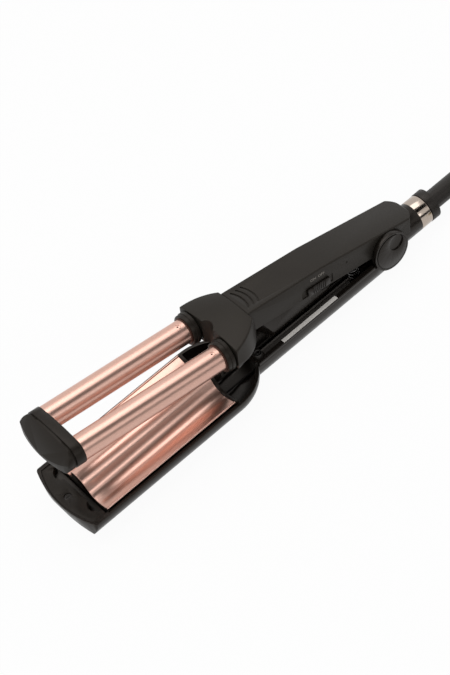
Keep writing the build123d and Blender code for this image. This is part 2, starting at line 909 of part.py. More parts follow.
heater_bottom_z = heat_bar_bottom_z - heater_thickness
with BuildPart() as plate_heater:
    with BuildSketch(Plane.XY.offset(heater_bottom_z)):
        with Locations((heater_middle_x, 0)):
            Rectangle(heater_length, heater_width)
    extrude(amount=heater_thickness)
finish(plate_heater, "plate_heater")

with BuildPart() as heater_clamp:
    with BuildSketch(Plane.YZ.offset(heater_middle_x - clamp_length / 2)):
        with Locations((0, heater_bottom_z)):
            Rectangle(clamp_width, heater_bottom_z - floor_thickness, align=(Align.CENTER, Align.MAX))
        with Locations((0, heater_bottom_z - clamp_sheet)):
            Rectangle(
                clamp_width - 2 * clamp_sheet,
                heater_bottom_z,
                align=(Align.CENTER, Align.MAX),
                mode=Mode.SUBTRACT,
            )
        foot_width = clamp_foot_half_width - clamp_width / 2 + clamp_sheet
        for side in (1, -1):
            with Locations((side * (clamp_foot_half_width - foot_width / 2), floor_thickness)):
                Rectangle(foot_width, clamp_sheet, align=(Align.CENTER, Align.MIN))
    extrude(amount=clamp_length)
finish(heater_clamp, "heater_clamp")

with BuildPart() as plate_fuse:
    with BuildSketch(Plane.YZ.offset(fuse_front_x)):
        with Locations((0, heater_bottom_z - fuse_radius)):
            Circle(fuse_radius)
    extrude(amount=fuse_length)
finish(plate_fuse, "plate_fuse")

with BuildPart() as plate_bracket:
    # Rib that carries the ridge on past the plate, between the barrels
    with BuildSketch(Plane.YZ.offset(bracket_x)):
        with Locations((0, ridge_z + ridge_radius - hump_drop - hump_half_width)):
            Circle(hump_half_width)
            Rectangle(2 * hump_half_width, hump_depth, align=(Align.CENTER, Align.MAX))
    extrude(amount=hump_rear_x - bracket_x)
    with BuildSketch():
        with Locations((hump_rear_x - hump_half_width, 0)):
            Circle(hump_half_width)
            Rectangle(hump_rear_x - bracket_x, 2 * hump_half_width, align=(Align.MAX, Align.CENTER))
    extrude(amount=ridge_z + 2 * ridge_radius, mode=Mode.INTERSECT)
    extrude(plate_wall(Plane.YZ.offset(bracket_x), 0, -seat_gap), amount=bracket_thickness)
    with BuildSketch(Plane.YZ.offset(bracket_x)):
        with Locations((0, floor_thickness - overshoot)):
            Rectangle(
                2 * bracket_duct_half_width,
                bracket_duct_top_z - floor_thickness + overshoot,
                align=(Align.CENTER, Align.MIN),
            )
    extrude(amount=bracket_thickness, mode=Mode.SUBTRACT)
finish(plate_bracket, "plate_bracket")

# The plate's two leads run on the floor from the swivel contacts to the heater
lead_start = (contact_rear_x - contact_length, 4.0, 9.0)
lead_dip = (0, 5.5, 5.2)
lead_end_x = heater_middle_x + heater_length / 2 - lead_overlap
lead_corners = [
    lead_start,
    lead_dip,
    (lead_floor_x, lead_y, lead_z),
    (tray_dome_x, lead_y, lead_z),
    (lead_end_x, lead_end_y, lead_z),
    (lead_end_x, lead_end_y, heater_bottom_z),
]
with BuildPart() as plate_leads:
    for side in (1, -1):
        with BuildLine() as lead_line:
            FilletPolyline(*[(x, side * y, z) for x, y, z in lead_corners], radius=lead_bend)
        with BuildSketch(Plane(lead_line.line @ 0, z_dir=lead_line.line % 0)):
            Circle(lead_radius)
        sweep()
finish(plate_leads, "plate_leads")

# ---------------------------------------- tip block
with BuildPart() as tip_block:
    extrude(tip_block_outline(Plane.XY.offset(block_bottom_z), 0), amount=block_top_z - block_bottom_z)
    with BuildSketch(Plane.XY.offset(block_bottom_z)):
        for side in (1, -1):
            with Locations((scallop_depth_x + scallop_half_width, side * scallop_y)):
                Circle(scallop_half_width)
    extrude(amount=block_top_z, mode=Mode.SUBTRACT)
    with Locations((tip_screw_x, 0, block_top_z)):
        CounterBoreHole(
            screw_radius + screw_gap,
            screw_head_radius + screw_gap,
            screw_head_height + screw_recess,
        )
finish(tip_block, "tip_block")

with BuildPart() as tip_screw:
    screw(Plane((tip_screw_x, 0, tip_screw_seat_z)))
finish(tip_screw, "tip_screw")

# ---------------------------------------- hinge pin, pin cap, lock knob, opening spring
with BuildPart() as hinge_pin:
    with BuildSketch(Plane.XZ.offset(-disc_seat_y)):
        with Locations((0, hinge_z)):
            Circle(pin_radius)
    extrude(amount=2 * disc_seat_y - pin_end_gap)
finish(hinge_pin, "hinge_pin")

with BuildPart() as pin_cap:
    with BuildSketch(Plane.XZ.offset(-disc_seat_y)):
        with Locations((0, hinge_z)):
            Circle(pin_cap_radius)
    extrude(amount=-knob_depth)
    with BuildSketch(Plane.XZ.offset(-disc_seat_y - knob_depth)):
        with Locations((0, hinge_z)):
            Circle(pin_cap_radius - disc_groove_inset)
            Circle(pin_cap_radius - disc_groove_inset - disc_groove_width, mode=Mode.SUBTRACT)
    extrude(amount=disc_groove_width, mode=Mode.SUBTRACT)
finish(pin_cap, "pin_cap")

with BuildPart() as lock_knob:
    with BuildSketch(Plane.XZ.offset(disc_seat_y)):
        with Locations((0, hinge_z)):
            Circle(knob_radius)
    extrude(amount=knob_depth)
    with BuildSketch(Plane.XZ.offset(disc_seat_y)):
        with Locations((0, hinge_z)):
            Circle(knob_hub_radius)
    extrude(amount=-(disc_seat_y - ear_inner_y))
    # Half-round key in the upper arm's pocket
    with BuildSketch(Plane.XZ.offset(ear_inner_y)):
        with Locations((0, hinge_z)):
            Circle(knob_key_radius)
            Rectangle(
                2 * knob_key_radius,
                knob_key_radius,
                align=(Align.CENTER, Align.MAX),
                mode=Mode.SUBTRACT,
            )
    extrude(amount=-(ear_inner_y - knob_key_y))
    with BuildSketch(Plane.XZ.offset(disc_seat_y)):
        with Locations((0, hinge_z)):
            Circle(pin_radius + pin_clearance)
    extrude(amount=-disc_seat_y, mode=Mode.SUBTRACT)
    # Finger scoop
    with BuildSketch(Plane.XZ.offset(disc_seat_y + knob_depth)):
        with Locations((knob_scoop_offset, hinge_z + knob_scoop_offset)):
            Circle(knob_scoop_radius)
    extrude(amount=-knob_scoop_depth, mode=Mode.SUBTRACT)
finish(lock_knob, "lock_knob")

spring_height = spring_seat_z - spring_floor_z - 2 * spring_wire_radius
with BuildPart() as opening_spring:
    with BuildLine() as coil_line:
        Helix(
            spring_height / spring_turns,
            spring_height,
            spring_radius,
            center=(spring_x, 0, spring_floor_z + spring_wire_radius),
        )
    with BuildSketch(Plane(coil_line.line @ 0, z_dir=coil_line.line % 0)):
        Circle(spring_wire_radius)
    sweep(is_frenet=True)
finish(opening_spring, "opening_spring")

# ---------------------------------------- tail: ring, contacts, cord boot
with BuildPart() as swivel_ring:
    with BuildSketch(Plane.YZ.offset(collar_rear_x)):
        with Locations((0, tail_z)):
            Circle(collar_radius)
            Circle(ring_seat_radius + press_gap, mode=Mode.SUBTRACT)
    extrude(amount=ring_length)
    outer_rims = swivel_ring.edges().filter_by(GeomType.CIRCLE).group_by(SortBy.RADIUS)[-1]
    chamfer(outer_rims, ring_chamfer)
finish(swivel_ring, "swivel_ring")

with BuildPart() as contact_block:
    with BuildSketch(Plane.YZ.offset(contact_rear_x - contact_length)):
        with Locations((0, tail_z)):
            Circle(contact_radius)
    extrude(amount=contact_length)
finish(contact_block, "contact_block")

with BuildPart() as cord_boot:
    with BuildSketch(Plane.XZ):
        with BuildLine():
            Polyline(
                (flange_rear_x - flange_thickness, tail_z),
                (flange_rear_x - flange_thickness, tail_z + flange_radius),
                (flange_rear_x, tail_z + flange_radius),
                (flange_rear_x, tail_z + stem_radius),
                (band_x, tail_z + stem_radius),
                (band_x, tail_z + boot_band_radius),
                (boot_x, tail_z + boot_band_radius),
                (boot_x, tail_z + boot_radius),
                (taper_x, tail_z + boot_radius),
                (boot_end_x, tail_z + boot_end_radius),
                (boot_end_x, tail_z),
                close=True,
            )
        make_face()
        for index in range(boot_groove_count):
            groove_x = taper_x + index * boot_groove_pitch
            with Locations((groove_x, tail_z + boot_radius_at(groove_x))):
                Rectangle(
                    boot_groove_width,
                    2 * boot_groove_depth,
                    align=(Align.MIN, Align.CENTER),
                    mode=Mode.SUBTRACT,
                )
    revolve(axis=Axis((0, 0, tail_z), (1, 0, 0)))
finish(cord_boot, "cord_boot")

# ---------------------------------------- upper arm: handle shell
hollow_front_x = joint_top_x - shell_overlap
hollow_rear_x = shell_rear_x - shell_rear_wall
with BuildPart() as shell_hollow:
    with BuildSketch(on_arm(Plane.XZ)):
        with BuildLine():
            Polyline(
                (hollow_front_x, 0),
                (hollow_front_x, shell_top_z(hollow_front_x) - shell_top_wall),
                (shell_mid_x, shell_mid_top_z - shell_top_wall),
                (hollow_rear_x, shell_top_z(hollow_rear_x) - shell_top_wall),
                (hollow_rear_x, shell_rear_wall_bottom_z),
                (shell_rear_x + shell_overlap, shell_rear_wall_bottom_z),
                (shell_rear_x + shell_overlap, 0),
                close=True,
            )
        make_face()
    extrude(amount=shell_front_half_width, both=True)
    hollow_plan = shell_plan(shell_side_wall, shell_rear_x + shell_overlap, False)
    extrude(hollow_plan, amount=2 * shell_front_top_z, mode=Mode.INTERSECT)

with BuildPart() as upper_shell:
    with BuildSketch(on_arm(Plane.XZ)):
        with BuildLine():
            Polyline(
                (joint_bottom_x, shell_front_bottom_z),
                (joint_top_x, shell_top_z(joint_top_x)),
                (shell_mid_x, shell_mid_top_z),
                (shell_rear_x, shell_top_z(shell_rear_x)),
                (shell_rear_x, shell_rear_bottom_z),
                (shell_hinge_front_x, shell_hinge_bottom_z),
                close=True,
            )
        side_view = make_face()
        rear_top = side_view.vertices().group_by(Axis.X)[-1].sort_by(Axis.Y)[-1]
        fillet(rear_top, shell_rear_radius)
        with Locations((0, hinge_z)):
            Circle(shell_hinge_radius)
    extrude(amount=shell_front_half_width, both=True)
    extrude(shell_plan(0, shell_corner_x, True), amount=2 * shell_front_top_z, mode=Mode.INTERSECT)
    long_edges = upper_shell.edges().filter_by(lambda edge: edge.length > shell_rear_x)
    fillet(long_edges.sort_by(arm_up)[-4:], shell_edge_radius)
    add(shell_hollow.part, mode=Mode.SUBTRACT)
    # Hinge boss right across, with the pocket for the lock knob's key
    with BuildSketch(on_arm(Plane.XZ)):
        with Locations((0, hinge_z)):
            Circle(boss_radius)
    extrude(amount=shell_half_width(0) - running_gap, both=True)
    with BuildSketch(on_arm(Plane.XZ)):
        with Locations((0, hinge_z)):
            Circle(pin_radius + pin_clearance)
    extrude(amount=ear_inner_y, both=True, mode=Mode.SUBTRACT)
    with BuildSketch(on_arm(Plane.XZ.offset(knob_key_y - running_gap))):
        with Locations((0, hinge_z)):
            Circle(knob_key_radius + knob_gap)
    extrude(amount=ear_inner_y, mode=Mode.SUBTRACT)
    # Seat and post for the spring
    with BuildSketch(Plane.XY.offset(spring_seat_z)):
        with Locations((spring_x, 0)):
            Circle(spring_seat_radius)
    extrude(amount=shell_roof_z(spring_x) - spring_seat_z)
    with BuildSketch(Plane.XY.offset(spring_seat_z)):
        with Locations((spring_x, 0)):
            Circle(spring_post_radius)
    extrude(amount=-spring_post_length)
    # Posts for the inner cover's screws
    for post_x in belly_screw_x:
        with BuildSketch(Plane.XY.offset(belly_post_z)):
            with Locations((post_x, belly_screw_y)):
                Circle(post_radius)
        extrude(amount=shell_roof_z(post_x) - belly_post_z)
        with BuildSketch(Plane.XY.offset(belly_post_z)):
            with Locations((post_x, belly_screw_y)):
                Circle(screw_radius + thread_gap)
        extrude(amount=screw_length, mode=Mode.SUBTRACT)
    # Three grooves across the top
    with BuildSketch(on_arm(Plane.XY.offset(shell_top_z(groove_first_x) - groove_depth))):
        for index in range(groove_count):
            groove_x = groove_first_x + index * groove_step
            bow = ThreePointArc(
                (groove_x, groove_half_length),
                (groove_x + groove_bow, 0),
                (groove_x, -groove_half_length),
                mode=Mode.PRIVATE,
            )
            SlotArc(bow, groove_width)
    extrude(amount=2 * groove_depth, mode=Mode.SUBTRACT)
    # Pocket and slot of the slide switch
    with BuildSketch(on_arm(Plane.XZ.offset(switch_floor_y))):
        with Locations(((switch_front_x + switch_rear_x) / 2, switch_z)):
            Rectangle(switch_rear_x - switch_front_x, switch_height)
    extrude(amount=switch_floor_y, mode=Mode.SUBTRACT)
    with BuildSketch(on_arm(Plane.XZ.offset(switch_floor_y - shell_side_wall))):
        with Locations((slot_middle_x, switch_z)):
            Rectangle(stem_length + slider_travel + 2 * slider_gap, stem_height + 2 * slider_gap)
    extrude(amount=2 * shell_side_wall, mode=Mode.SUBTRACT)
finish(upper_shell, "upper_shell")

# ---------------------------------------- upper arm: inner cover that drops into the lower arm
def belly_prism(inset, rise):
    extrude(belly_side_view(inset, rise), amount=belly_half_width - inset, both=True)


def front_corners(builder):
    return builder.edges().filter_by(Axis.Y, reverse=True).sort_by(Axis.X)[:2]


with BuildPart() as belly_hollow:
    belly_prism(belly_wall, belly_hollow_rise)
    chamfer(front_corners(belly_hollow), belly_corner - belly_wall)

with BuildPart() as inner_cover:
    belly_prism(0, 0)
    chamfer(front_corners(inner_cover), belly_corner)
    belly_section = (belly_half_width, belly_keel_half_width, belly_keel_open_z, belly_bilge_height)
    extrude(
        boat_section(Plane.YZ.offset(2 * belly_front_top_x), *belly_section, 2 * shell_front_top_z),
        amount=abs(2 * belly_front_top_x),
        mode=Mode.INTERSECT,
    )
    add(belly_hollow.part, mode=Mode.SUBTRACT)
    for post_x in belly_screw_x:
        with BuildSketch(Plane.XY.offset(belly_keel_open_z)):
            with Locations((post_x, belly_screw_y)):
                Circle(belly_boss_radius)
        extrude(amount=belly_post_z - belly_keel_open_z)
        with BuildSketch(Plane.XY.offset(belly_keel_open_z)):
            with Locations((post_x, belly_screw_y)):
                Circle(screw_head_radius + screw_gap)
        extrude(amount=screw_head_height + screw_recess, mode=Mode.SUBTRACT)
        with BuildSketch(Plane.XY.offset(belly_keel_open_z)):
            with Locations((post_x, belly_screw_y)):
                Circle(screw_radius + screw_gap)
        extrude(amount=belly_post_z, mode=Mode.SUBTRACT)
    # Room for the switch body
    with BuildSketch(on_arm(Plane.XY.offset(switch_z - switch_body_height / 2 - running_gap))):
        with Locations((slot_middle_x, -switch_body_rear_y)):
            Rectangle(
                switch_body_length + 2 * running_gap,
                2 * belly_half_width,
                align=(Align.CENTER, Align.MAX),
            )
    extrude(amount=switch_body_height, mode=Mode.SUBTRACT)
finish(inner_cover, "inner_cover")

with BuildPart() as inner_cover_screws:
    for post_x in belly_screw_x:
        seat = (post_x, belly_screw_y, belly_keel_open_z + screw_head_height + screw_recess)
        screw(Plane(seat, z_dir=(0, 0, -1)))
finish(inner_cover_screws, "inner_cover_screws")

# ---------------------------------------- upper arm: circuit board and switch
with BuildPart() as circuit_board:
    with BuildSketch(on_arm(Plane.XY.offset(belly_lip_z))):
        with Locations(((board_front_x + board_rear_x) / 2, 0)):
            Rectangle(board_rear_x - board_front_x, 2 * board_half_width)
    extrude(amount=board_thickness)
finish(circuit_board, "circuit_board")

board_top_z = belly_lip_z + board_thickness
with BuildPart() as board_parts:
    for x, y, length, width, height in board_blocks:
        with BuildSketch(on_arm(Plane.XY.offset(board_top_z))):
            with Locations((x, y)):
                Rectangle(length, width)
        extrude(amount=height)
    with BuildSketch(on_arm(Plane.XY.offset(board_top_z))):
        with Locations(capacitor_place):
            Circle(capacitor_radius)
    extrude(amount=capacitor_height)
finish(board_parts, "board_parts")

with BuildPart() as switch_body:
    with BuildSketch(on_arm(Plane.XZ.offset(switch_body_rear_y))):
        with Locations((slot_middle_x, switch_z)):
            Rectangle(switch_body_length, switch_body_height)
    extrude(amount=switch_body_depth)
    with BuildSketch(on_arm(Plane.XZ.offset(switch_body_rear_y + switch_body_depth))):
        with Locations((slot_middle_x, switch_z)):
            Rectangle(stem_length + slider_travel + 2 * slider_gap, stem_height + 2 * slider_gap)
    extrude(amount=-stem_reach, mode=Mode.SUBTRACT)
finish(switch_body, "switch_body")

with BuildPart() as switch_slider:
    with BuildSketch(on_arm(Plane.XZ.offset(slider_y))):
        with Locations((slider_x, switch_z)):
            RectangleRounded(slider_length, switch_height - 2 * slider_gap, slider_corner)
    extrude(amount=switch_pocket_depth + slider_proud)
    with BuildSketch(on_arm(Plane.XZ.offset(slider_y))):
        with Locations((slider_x, switch_z)):
            Rectangle(stem_length, stem_height)
    extrude(amount=-stem_reach)
    with BuildSketch(on_arm(Plane.XZ.offset(slider_y + switch_pocket_depth + slider_proud))):
        with Locations((slider_x, switch_z)):
            with GridLocations(slider_grip_pitch, 0, slider_grip_count, 1):
                Rectangle(slider_grip_pitch / 2, switch_height)
    extrude(amount=-slider_grip_depth, mode=Mode.SUBTRACT)
finish(switch_slider, "switch_slider")

# ---------------------------------------- upper arm: head
with BuildPart() as behind_joint:
    with BuildSketch(on_arm(Plane.XZ)):
        with BuildLine():
            Polyline(
                (joint_x(0), 0),
                (joint_x(2 * shell_front_top_z), 2 * shell_front_top_z),
                (0, 2 * shell_front_top_z),
                (0, 0),
                close=True,
            )
        make_face()
    extrude(amount=2 * head_front_half_width, both=True)

# What the tray's dome takes up round the head's lower edge when the jaw is closed
with BuildPart() as outside_nest:
    with BuildSketch(on_arm(Plane.XY)):
        Rectangle(4 * abs(tray_dome_x), 4 * tray_half_width)
        with Locations((tray_dome_x, 0)):
            Circle(tray_inner_half_width - head_nest_clearance, mode=Mode.SUBTRACT)
    extrude(amount=head_lip_z)

with BuildPart() as head_hollow:
    head_body(head_wall, head_bottom_z - overshoot)
    extrude(head_front_slab(0), amount=socket_depth + overshoot, mode=Mode.SUBTRACT)

with BuildPart() as head_shell:
    head_body(0, head_bottom_z)
    add(head_hollow.part, mode=Mode.SUBTRACT)
    add(behind_joint.part, mode=Mode.SUBTRACT)
    add(outside_nest.part, mode=Mode.SUBTRACT)
    with BuildSketch(on_arm(Plane.YZ.offset(head_front_x - overshoot))):
        with Locations(*barrel_places):
            Circle(socket_radius)
    extrude(amount=socket_depth + 2 * overshoot, mode=Mode.SUBTRACT)
    with BuildSketch(on_arm(Plane.XY)):
        with Locations((notch_rear_x - notch_half_width, 0)):
            Circle(notch_half_width)
            Rectangle(notch_half_width, 2 * notch_half_width, align=(Align.MAX, Align.CENTER))
    extrude(amount=2 * shell_front_top_z, mode=Mode.SUBTRACT)
finish(head_shell, "head_shell")

with BuildPart() as head_base:
    head_body(head_wall + base_gap, head_bottom_z - overshoot)
    extrude(head_front_slab(base_gap), amount=socket_depth + overshoot, mode=Mode.SUBTRACT)
    with BuildSketch(on_arm(Plane.XY.offset(head_bottom_z))):
        Rectangle(4 * abs(tray_dome_x), 4 * tray_half_width)
    extrude(amount=base_thickness, mode=Mode.INTERSECT)
    add(behind_joint.part, mode=Mode.SUBTRACT)
    add(outside_nest.part, mode=Mode.SUBTRACT)
finish(head_base, "head_base")

# ---------------------------------------- upper arm: barrels, left (+Y) and right (-Y)
for side_name, barrel_y in (("left", barrel_pitch / 2), ("right", -barrel_pitch / 2)):
    center = (barrel_y, barrel_z)
    with BuildPart() as barrel:
        with BuildSketch(on_arm(Plane.YZ.offset(barrel_tip_x))):
            with Locations(center):
                Circle(barrel_radius)
                Circle(barrel_radius - barrel_wall, mode=Mode.SUBTRACT)
        extrude(amount=barrel_seat_x - barrel_tip_x)
        hole_side = radians(punch_hole_angle)
        hole_y = barrel_y - barrel_radius * sin(hole_side)
        hole_z = barrel_z + barrel_radius * cos(hole_side)
        hole_plane = Plane((punch_hole_x, hole_y, hole_z), z_dir=(0, -sin(hole_side), cos(hole_side)))
        with BuildSketch(on_arm(hole_plane)):
            Circle(punch_hole_radius)
        extrude(amount=2 * barrel_wall, both=True, mode=Mode.SUBTRACT)
    finish(barrel, f"barrel_{side_name}")

    with BuildPart() as barrel_collar:
        with BuildSketch(on_arm(Plane.YZ.offset(barrel_seat_x - spigot_reach))):
            with Locations(center):
                Circle(spigot_radius)
        extrude(amount=spigot_reach)
        with BuildSketch(on_arm(Plane.YZ.offset(barrel_root_x))):
            with Locations(center):
                Circle(collar_ring_radius)
                Circle(barrel_radius + press_gap, mode=Mode.SUBTRACT)
        extrude(amount=barrel_seat_x - barrel_root_x)
        with BuildSketch(on_arm(Plane.YZ.offset(barrel_seat_x))):
            with Locations(center):
                Circle(collar_ring_radius)
        extrude(amount=collar_web_thickness)
        with BuildSketch(on_arm(Plane.YZ.offset(barrel_seat_x))):
            with Locations(center):
                Circle(collar_tube_radius)
        extrude(amount=collar_web_thickness + collar_tube_length)
        with BuildSketch(on_arm(Plane.YZ.offset(barrel_seat_x - spigot_reach))):
            with Locations(center):
                Circle(lead_bore_radius)
        extrude(amount=spigot_reach + collar_web_thickness + collar_tube_length, mode=Mode.SUBTRACT)
    finish(barrel_collar, f"barrel_collar_{side_name}")

    with BuildPart() as barrel_heater:
        with BuildSketch(on_arm(Plane.YZ.offset(spreader_middle_x - barrel_heater_length / 2))):
            with Locations(center):
                Rectangle(barrel_heater_width, barrel_heater_thickness)
        extrude(amount=barrel_heater_length)
    finish(barrel_heater, f"barrel_heater_{side_name}")

    with BuildPart() as heat_spreaders:
        with BuildSketch(on_arm(Plane.YZ.offset(spreader_middle_x - spreader_length / 2))):
            with Locations(center):
                Circle(barrel_radius - barrel_wall - spreader_clearance)
                Rectangle(2 * barrel_radius, barrel_heater_thickness, mode=Mode.SUBTRACT)
        extrude(amount=spreader_length)
    finish(heat_spreaders, f"heat_spreaders_{side_name}")

# ---------------------------------------- upper arm: end cap
with BuildPart() as cap_base:
    extrude(cap_outline(cap_rear_x, 0, False), amount=-cap_flange_length)
    # Step that clears the tip block when the jaw is closed
    with BuildSketch(on_arm(Plane.YZ.offset(block_inner_x + cap_step_gap))):
        with Locations((0, block_top_z + cap_step_gap)):
            Rectangle(2 * tray_half_width, barrel_radius, align=(Align.CENTER, Align.MAX))
    extrude(amount=-cap_flange_length, mode=Mode.SUBTRACT)
    with BuildSketch(on_arm(Plane.YZ.offset(cap_rear_x))):
        with Locations(*barrel_places):
            Circle(spigot_radius)
            Circle(spigot_radius - cap_spigot_wall, mode=Mode.SUBTRACT)
    extrude(amount=cap_spigot_length)
finish(cap_base, "cap_base")

with BuildPart() as end_cap:
    extrude(cap_outline(cap_rear_x - cap_flange_length, cap_groove_depth, True), amount=-cap_groove_length)
    nose_x = cap_rear_x - cap_flange_length - cap_groove_length
    extrude(cap_outline(nose_x, cap_nose_inset, True), amount=-cap_nose_length)
    # The front is bowed, so that the corners lie back, and slants up to a ridge behind the groove
    with BuildSketch(on_arm(Plane.XY)):
        with BuildLine():
            ThreePointArc(
                (cap_corner_x, cap_corner_y),
                (nose_x - cap_nose_length, 0),
                (cap_corner_x, -cap_corner_y),
            )
            Polyline(
                (cap_corner_x, -cap_corner_y),
                (cap_rear_x, -cap_corner_y),
                (cap_rear_x, cap_corner_y),
                (cap_corner_x, cap_corner_y),
            )
        make_face()
    extrude(amount=2 * shell_front_top_z, mode=Mode.INTERSECT)
    with BuildSketch(on_arm(Plane.XZ)):
        with BuildLine():
            Polyline(
                (cap_rear_x, cap_ridge_z),
                (nose_x, cap_ridge_z),
                (nose_x - cap_nose_length, cap_front_foot_z),
                (nose_x - 2 * cap_nose_length, cap_front_foot_z),
                (nose_x - 2 * cap_nose_length, 2 * cap_ridge_z),
                (cap_rear_x, 2 * cap_ridge_z),
                close=True,
            )
        above_front = make_face()
        ridge = above_front.vertices().sort_by_distance((nose_x, cap_ridge_z))[0]
        fillet(ridge, cap_ridge_radius)
    extrude(amount=cap_corner_y, both=True, mode=Mode.SUBTRACT)
finish(end_cap, "end_cap")

# ---------------------------------------- mains cord, its coil and plug
def bend_radii(points):
    """One radius for each corner: 0.45 of its shorter run over the tangent of half its turn."""
    vectors = [Vector(*point) for point in points]
    radii = []
    for before, corner, after in zip(vectors, vectors[1:], vectors[2:]):
        turn = radians((corner - before).get_angle(after - corner))
        shorter = min((corner - before).length, (after - corner).length)
        radii.append(bend_share * shorter / tan(turn / 2))
    return radii


def cord_tube(points, name):
    radii = bend_radii(points)
    print(name, "bend radii", [round(radius, 1) for radius in radii])
    with BuildPart() as tube:
        with BuildLine() as route:
            FilletPolyline(*points, radius=radii)
        with BuildSketch(Plane(route.line @ 0, z_dir=route.line % 0)):
            Circle(cord_radius)
        sweep()
    run_length = route.wire().length
    volume_share = tube.part.volume / (pi * cord_radius**2 * run_length)
    print(name, "length", round(run_length, 1), "volume share", round(volume_share, 4))
    finish(tube, name)


cord_tube(cord_route, "mains_cord")

with BuildPart() as cord_coil:
    with BuildSketch():
        with Locations((coil_center_x, coil_center_y)):
            Circle(coil_outer_turn_radius + cord_radius)
            Circle(coil_inner_turn_radius - cord_radius, mode=Mode.SUBTRACT)
    extrude(amount=coil_height)
finish(cord_coil, "cord_coil")

cord_tube(tail_route, "cord_tail")

plug_neck_x = plug_entry_x - plug_relief_length
plug_face_x = plug_neck_x - plug_length
with BuildPart() as mains_plug:
    with BuildSketch():
        with BuildLine():
            Polyline(
                (plug_face_x, plug_y - plug_width / 2),
                (plug_neck_x - plug_shoulder, plug_y - plug_width / 2),
                (plug_neck_x, plug_y - plug_neck_half_width),
                (plug_neck_x, plug_y + plug_neck_half_width),
                (plug_neck_x - plug_shoulder, plug_y + plug_width / 2),
                (plug_face_x, plug_y + plug_width / 2),
                close=True,
            )
        make_face()
    extrude(amount=plug_height)
    fillet(mains_plug.edges().filter_by(Axis.Z), plug_edge_radius)
    fillet(mains_plug.faces().sort_by(Axis.Z)[-1].edges(), plug_rim_radius)
    with BuildSketch(Plane.XZ.offset(-plug_y)):
        with BuildLine():
            Polyline(
                (plug_neck_x - plug_shoulder, plug_height / 2),
                (plug_neck_x - plug_shoulder, plug_height / 2 + plug_relief_radius),
                (plug_neck_x, plug_height / 2 + plug_relief_radius),
                (plug_entry_x, plug_height / 2 + boot_end_radius),
                (plug_entry_x, plug_height / 2),
                close=True,
            )
        make_face()
    revolve(axis=Axis((0, plug_y, plug_height / 2), (1, 0, 0)))
finish(mains_plug, "mains_plug")

with BuildPart() as plug_pins:
    with BuildSketch(Plane.YZ.offset(plug_face_x)):
        for side in (1, -1):
            with Locations((plug_y + side * plug_pin_spacing / 2, plug_height / 2)):
                Circle(plug_pin_radius)
    extrude(amount=-plug_pin_length)
    fillet(plug_pins.faces().sort_by(Axis.X)[:2].edges(), plug_pin_tip_radius)
finish(plug_pins, "plug_pins")
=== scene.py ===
# %% [markdown]
# # Dressing a hair waver
# The solids of this tool come ready made: two heated barrels on an upper arm, hinged to a lower arm with a
# wave plate in a tray. This lesson gives them their finishes, adds the small parts that only a close look
# shows, and lays out the mains cord. Everything is in metres, in the frame of the solids: +X along the
# cord, z = 0 the table.

# %% Load the solids
from math import cos, hypot, pi, radians, sin

import bmesh
import bpy
from mathutils import Matrix, Vector


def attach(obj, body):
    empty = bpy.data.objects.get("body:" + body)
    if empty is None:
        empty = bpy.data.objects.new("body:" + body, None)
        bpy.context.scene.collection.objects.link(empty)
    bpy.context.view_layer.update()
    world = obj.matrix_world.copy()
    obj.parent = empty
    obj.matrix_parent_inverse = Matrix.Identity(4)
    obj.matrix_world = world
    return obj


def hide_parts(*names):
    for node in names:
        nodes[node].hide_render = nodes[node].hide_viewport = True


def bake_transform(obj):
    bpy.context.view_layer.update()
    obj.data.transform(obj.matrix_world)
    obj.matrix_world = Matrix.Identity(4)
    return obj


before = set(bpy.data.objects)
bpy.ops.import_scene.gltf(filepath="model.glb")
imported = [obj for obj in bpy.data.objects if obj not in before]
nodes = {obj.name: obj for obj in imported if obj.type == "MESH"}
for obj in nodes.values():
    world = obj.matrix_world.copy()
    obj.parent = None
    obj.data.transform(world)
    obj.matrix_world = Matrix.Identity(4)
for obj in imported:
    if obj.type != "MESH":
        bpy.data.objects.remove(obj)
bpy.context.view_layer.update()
MM = 0.001

# %% [markdown]
# ## The frame that everything shares
# The upper arm is drawn as it lies when the jaw is closed and turned open by 9.61 degrees about the hinge.
# A matrix that does the same turn lets each small part of the arm be placed in plain closed-jaw sizes.

# %% The turned arm
hinge_z = 22.3 * MM
open_angle = radians(9.61)
hinge_turn = Matrix.Translation((0, 0, hinge_z)) @ Matrix.Rotation(open_angle, 4, "Y")
arm_open = hinge_turn @ Matrix.Translation((0, 0, -hinge_z))
print("the arm's tip lifts by", round((arm_open @ Vector((-0.29, 0, hinge_z))).z / MM - 22.3, 1), "mm")

# %% [markdown]
# ## Camera
# A long lens from above the near side, with the tip towards us: 96.5 mm on a 36 mm sensor, so that the arms
# hardly shrink with distance. The three directions are the picture's right, up and back.

# %% Camera
picture_right = Vector((0.74256541, -0.62711371, -0.23521268))
picture_up = Vector((0.61019682, 0.48863318, 0.62361643))
picture_back = Vector((-0.27614569, -0.60660202, 0.74550489))
camera_place = Vector((-0.4756, -0.7459, 0.9608))
lens = bpy.data.cameras.new("camera")
lens.sensor_width = 36
lens.lens = 96.5
camera = bpy.data.objects.new("camera", lens)
turn = Matrix((picture_right, picture_up, picture_back)).transposed()
camera.matrix_world = Matrix.Translation(camera_place) @ turn.to_4x4()
bpy.context.scene.collection.objects.link(camera)
bpy.context.scene.camera = camera
print("camera", round(camera_place.length, 2), "m from the hinge")
